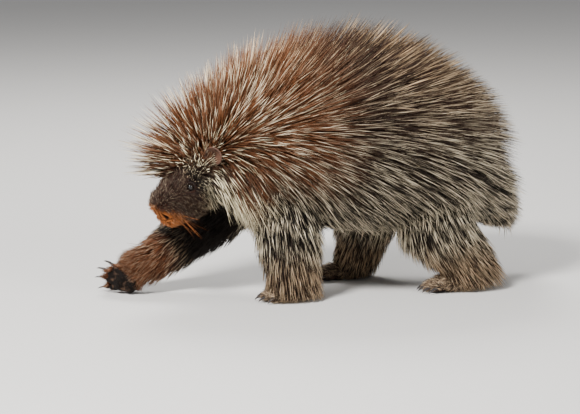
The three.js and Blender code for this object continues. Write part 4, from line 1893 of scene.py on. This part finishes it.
@dataclass
class Ear:
    """A small round ear, cupped forward and out, rooted in the head."""

    body: Body
    side: str
    wide: float = 19.0
    tall: float = 25.0
    thick: float = 2.2
    cup: float = 9.0
    fold: float = 0.5
    raised: float = 0.72
    lift: float = 4.0
    tilt: float = 0.6

    def build(self) -> bpy.types.Object:
        """Models the ear and gives its object.

        Returns:
            The ear.
        """
        turn = math.pi - SIDE_TURN if self.side == "left" else SIDE_TURN
        base = self.body.trunk.surface_frame(EAR_AT, turn)
        bm = bmesh.new()
        grid = bmesh.ops.create_grid(bm, x_segments=16, y_segments=16, size=1.0)
        for vert in grid["verts"]:
            x, y = vert.co.x, vert.co.y
            flat_x = x * math.sqrt(max(0.0, 1 - y * y / 2))
            flat_y = y * math.sqrt(max(0.0, 1 - x * x / 2))
            inward = 1 - (flat_x**2 + flat_y**2)
            hollow = (self.cup + self.fold * math.sin(flat_x * 5)) * inward
            vert.co = Vector((flat_x * self.wide, -hollow, (flat_y + self.raised) * self.tall))
        tilt = Matrix.Rotation(self.tilt, 4, "X")
        lift = Matrix.Translation((0, 0, self.lift))
        bmesh.ops.transform(bm, matrix=base @ tilt @ lift, verts=bm.verts)
        bmesh.ops.transform(bm, matrix=Matrix.Scale(MM, 4), verts=bm.verts)
        bmesh.ops.translate(bm, vec=Vector(self.body.shift) * MM, verts=bm.verts)
        bmesh.ops.recalc_face_normals(bm, faces=bm.faces)
        sheet = from_bmesh(f"ear_{self.side}_sheet", bm)
        wall = ("SOLIDIFY", {"thickness": self.thick * MM, "offset": 0.0})
        round_off = ("SUBSURF", {"levels": 2, "render_levels": 2})
        mesh = with_modifiers(sheet, wall, round_off)
        mesh.polygons.foreach_set("use_smooth", np.ones(len(mesh.polygons), dtype=bool))
        piece = new_object(f"pinna_{self.side}", mesh, EarFinish().build())
        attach(piece, ROOT)
        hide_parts(f"ear_{self.side}")
        LOG.info("ear %s", self.side)
        return piece


@dataclass
class Studio:
    """The floor, the lights and the camera."""

    body: Body
    azimuth: float = 72.0
    elevation: float = 10.0
    distance: float = 6.0
    mm_per_pixel: float = 2.0
    frame: tuple[int, int] = (580, 414)
    left_forefoot: tuple[int, int] = (290, 300)
    sensor: float = 36.0

    def build(self) -> None:
        """Sets up the studio."""
        self.floor()
        self.lights()
        self.camera()

    def floor(self) -> None:
        """Lays the plain pale floor."""
        bm = bmesh.new()
        bmesh.ops.create_grid(bm, x_segments=8, y_segments=8, size=30.0)
        piece = new_object("floor", from_bmesh("floor", bm), FloorFinish().build())
        piece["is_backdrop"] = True

    def lights(self) -> None:
        """Hangs soft lights round the animal."""
        for name, place, power, size in (
            ("key", (2.0, -2.2, 3.0), 380.0, 0.8),
            ("fill", (3.0, 2.0, 1.6), 80.0, 2.0),
            ("rim", (-2.2, 0.2, 2.8), 120.0, 1.4),
        ):
            data = bpy.data.lights.new(name, "AREA")
            data.energy = power
            data.size = size
            lamp = bpy.data.objects.new(name, data)
            lamp.location = place
            aim = Vector((0.0, 0.0, 0.25)) - Vector(place)
            lamp.rotation_euler = aim.to_track_quat("-Z", "Y").to_euler()
            bpy.context.scene.collection.objects.link(lamp)
        world = bpy.data.worlds.new("studio")
        world.use_nodes = True
        world.node_tree.nodes["Background"].inputs["Color"].default_value = (0.93, 0.95, 1.0, 1.0)
        world.node_tree.nodes["Background"].inputs["Strength"].default_value = 0.28
        bpy.context.scene.world = world

    def camera(self) -> None:
        """Places the camera as the photograph was taken, and makes it the scene's."""
        turn, rise = math.radians(self.azimuth), math.radians(self.elevation)
        back = Vector((math.cos(rise) * math.sin(turn), -math.cos(rise) * math.cos(turn), math.sin(rise)))
        right = Vector((math.cos(turn), math.sin(turn), 0.0))
        up = back.cross(right)
        wide, tall = self.frame
        metres = self.mm_per_pixel * MM
        foot = Vector(self.body.spot((self.body.feet["forefoot_left"].at[0], 0.0, 0.0)))
        across = (wide / 2 - self.left_forefoot[0]) * metres
        raise_by = (self.left_forefoot[1] - tall / 2) * metres
        target = foot + right * across + up * raise_by
        data = bpy.data.cameras.new("camera")
        data.sensor_width = self.sensor
        data.lens = self.sensor * self.distance / (wide * metres)
        data.clip_end = 100.0
        camera = bpy.data.objects.new("camera", data)
        camera.location = target + back * self.distance
        camera.rotation_euler = (-back).to_track_quat("-Z", "Y").to_euler()
        bpy.context.scene.collection.objects.link(camera)
        bpy.context.scene.camera = camera


def dress_claws(frame: dict[str, object]) -> None:
    """Gives the claws, which stay as they are, their finish.

    Args:
        frame: The loaded solids.
    """
    horn = ClawFinish().build()
    for name, node in frame["nodes"].items():
        if name.startswith("claw_"):
            node.data.materials.clear()
            node.data.materials.append(horn)
            node.data.polygons.foreach_set("use_smooth", np.ones(len(node.data.polygons), dtype=bool))
    LOG.info("claws dressed")


def main() -> None:
    """Builds the whole animal and its studio."""
    logging.basicConfig(level=logging.INFO, format="%(name)s: %(message)s")
    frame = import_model()
    packed = [list(corner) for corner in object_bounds()]
    body = Body()
    skin = Skin(body).build()
    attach(skin, ROOT)
    flesh = ["torso", "neck", "head", "tail", *body.legs, *body.feet]
    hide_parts(*flesh)
    for side in ("left", "right"):
        Eye(body, side).build()
        Ear(body, side).build()
    Coat(body, skin, (tuple(packed[0]), tuple(packed[1]))).build()
    dress_claws(frame)
    Studio(body).build()


if __name__ == "__main__":
    main()
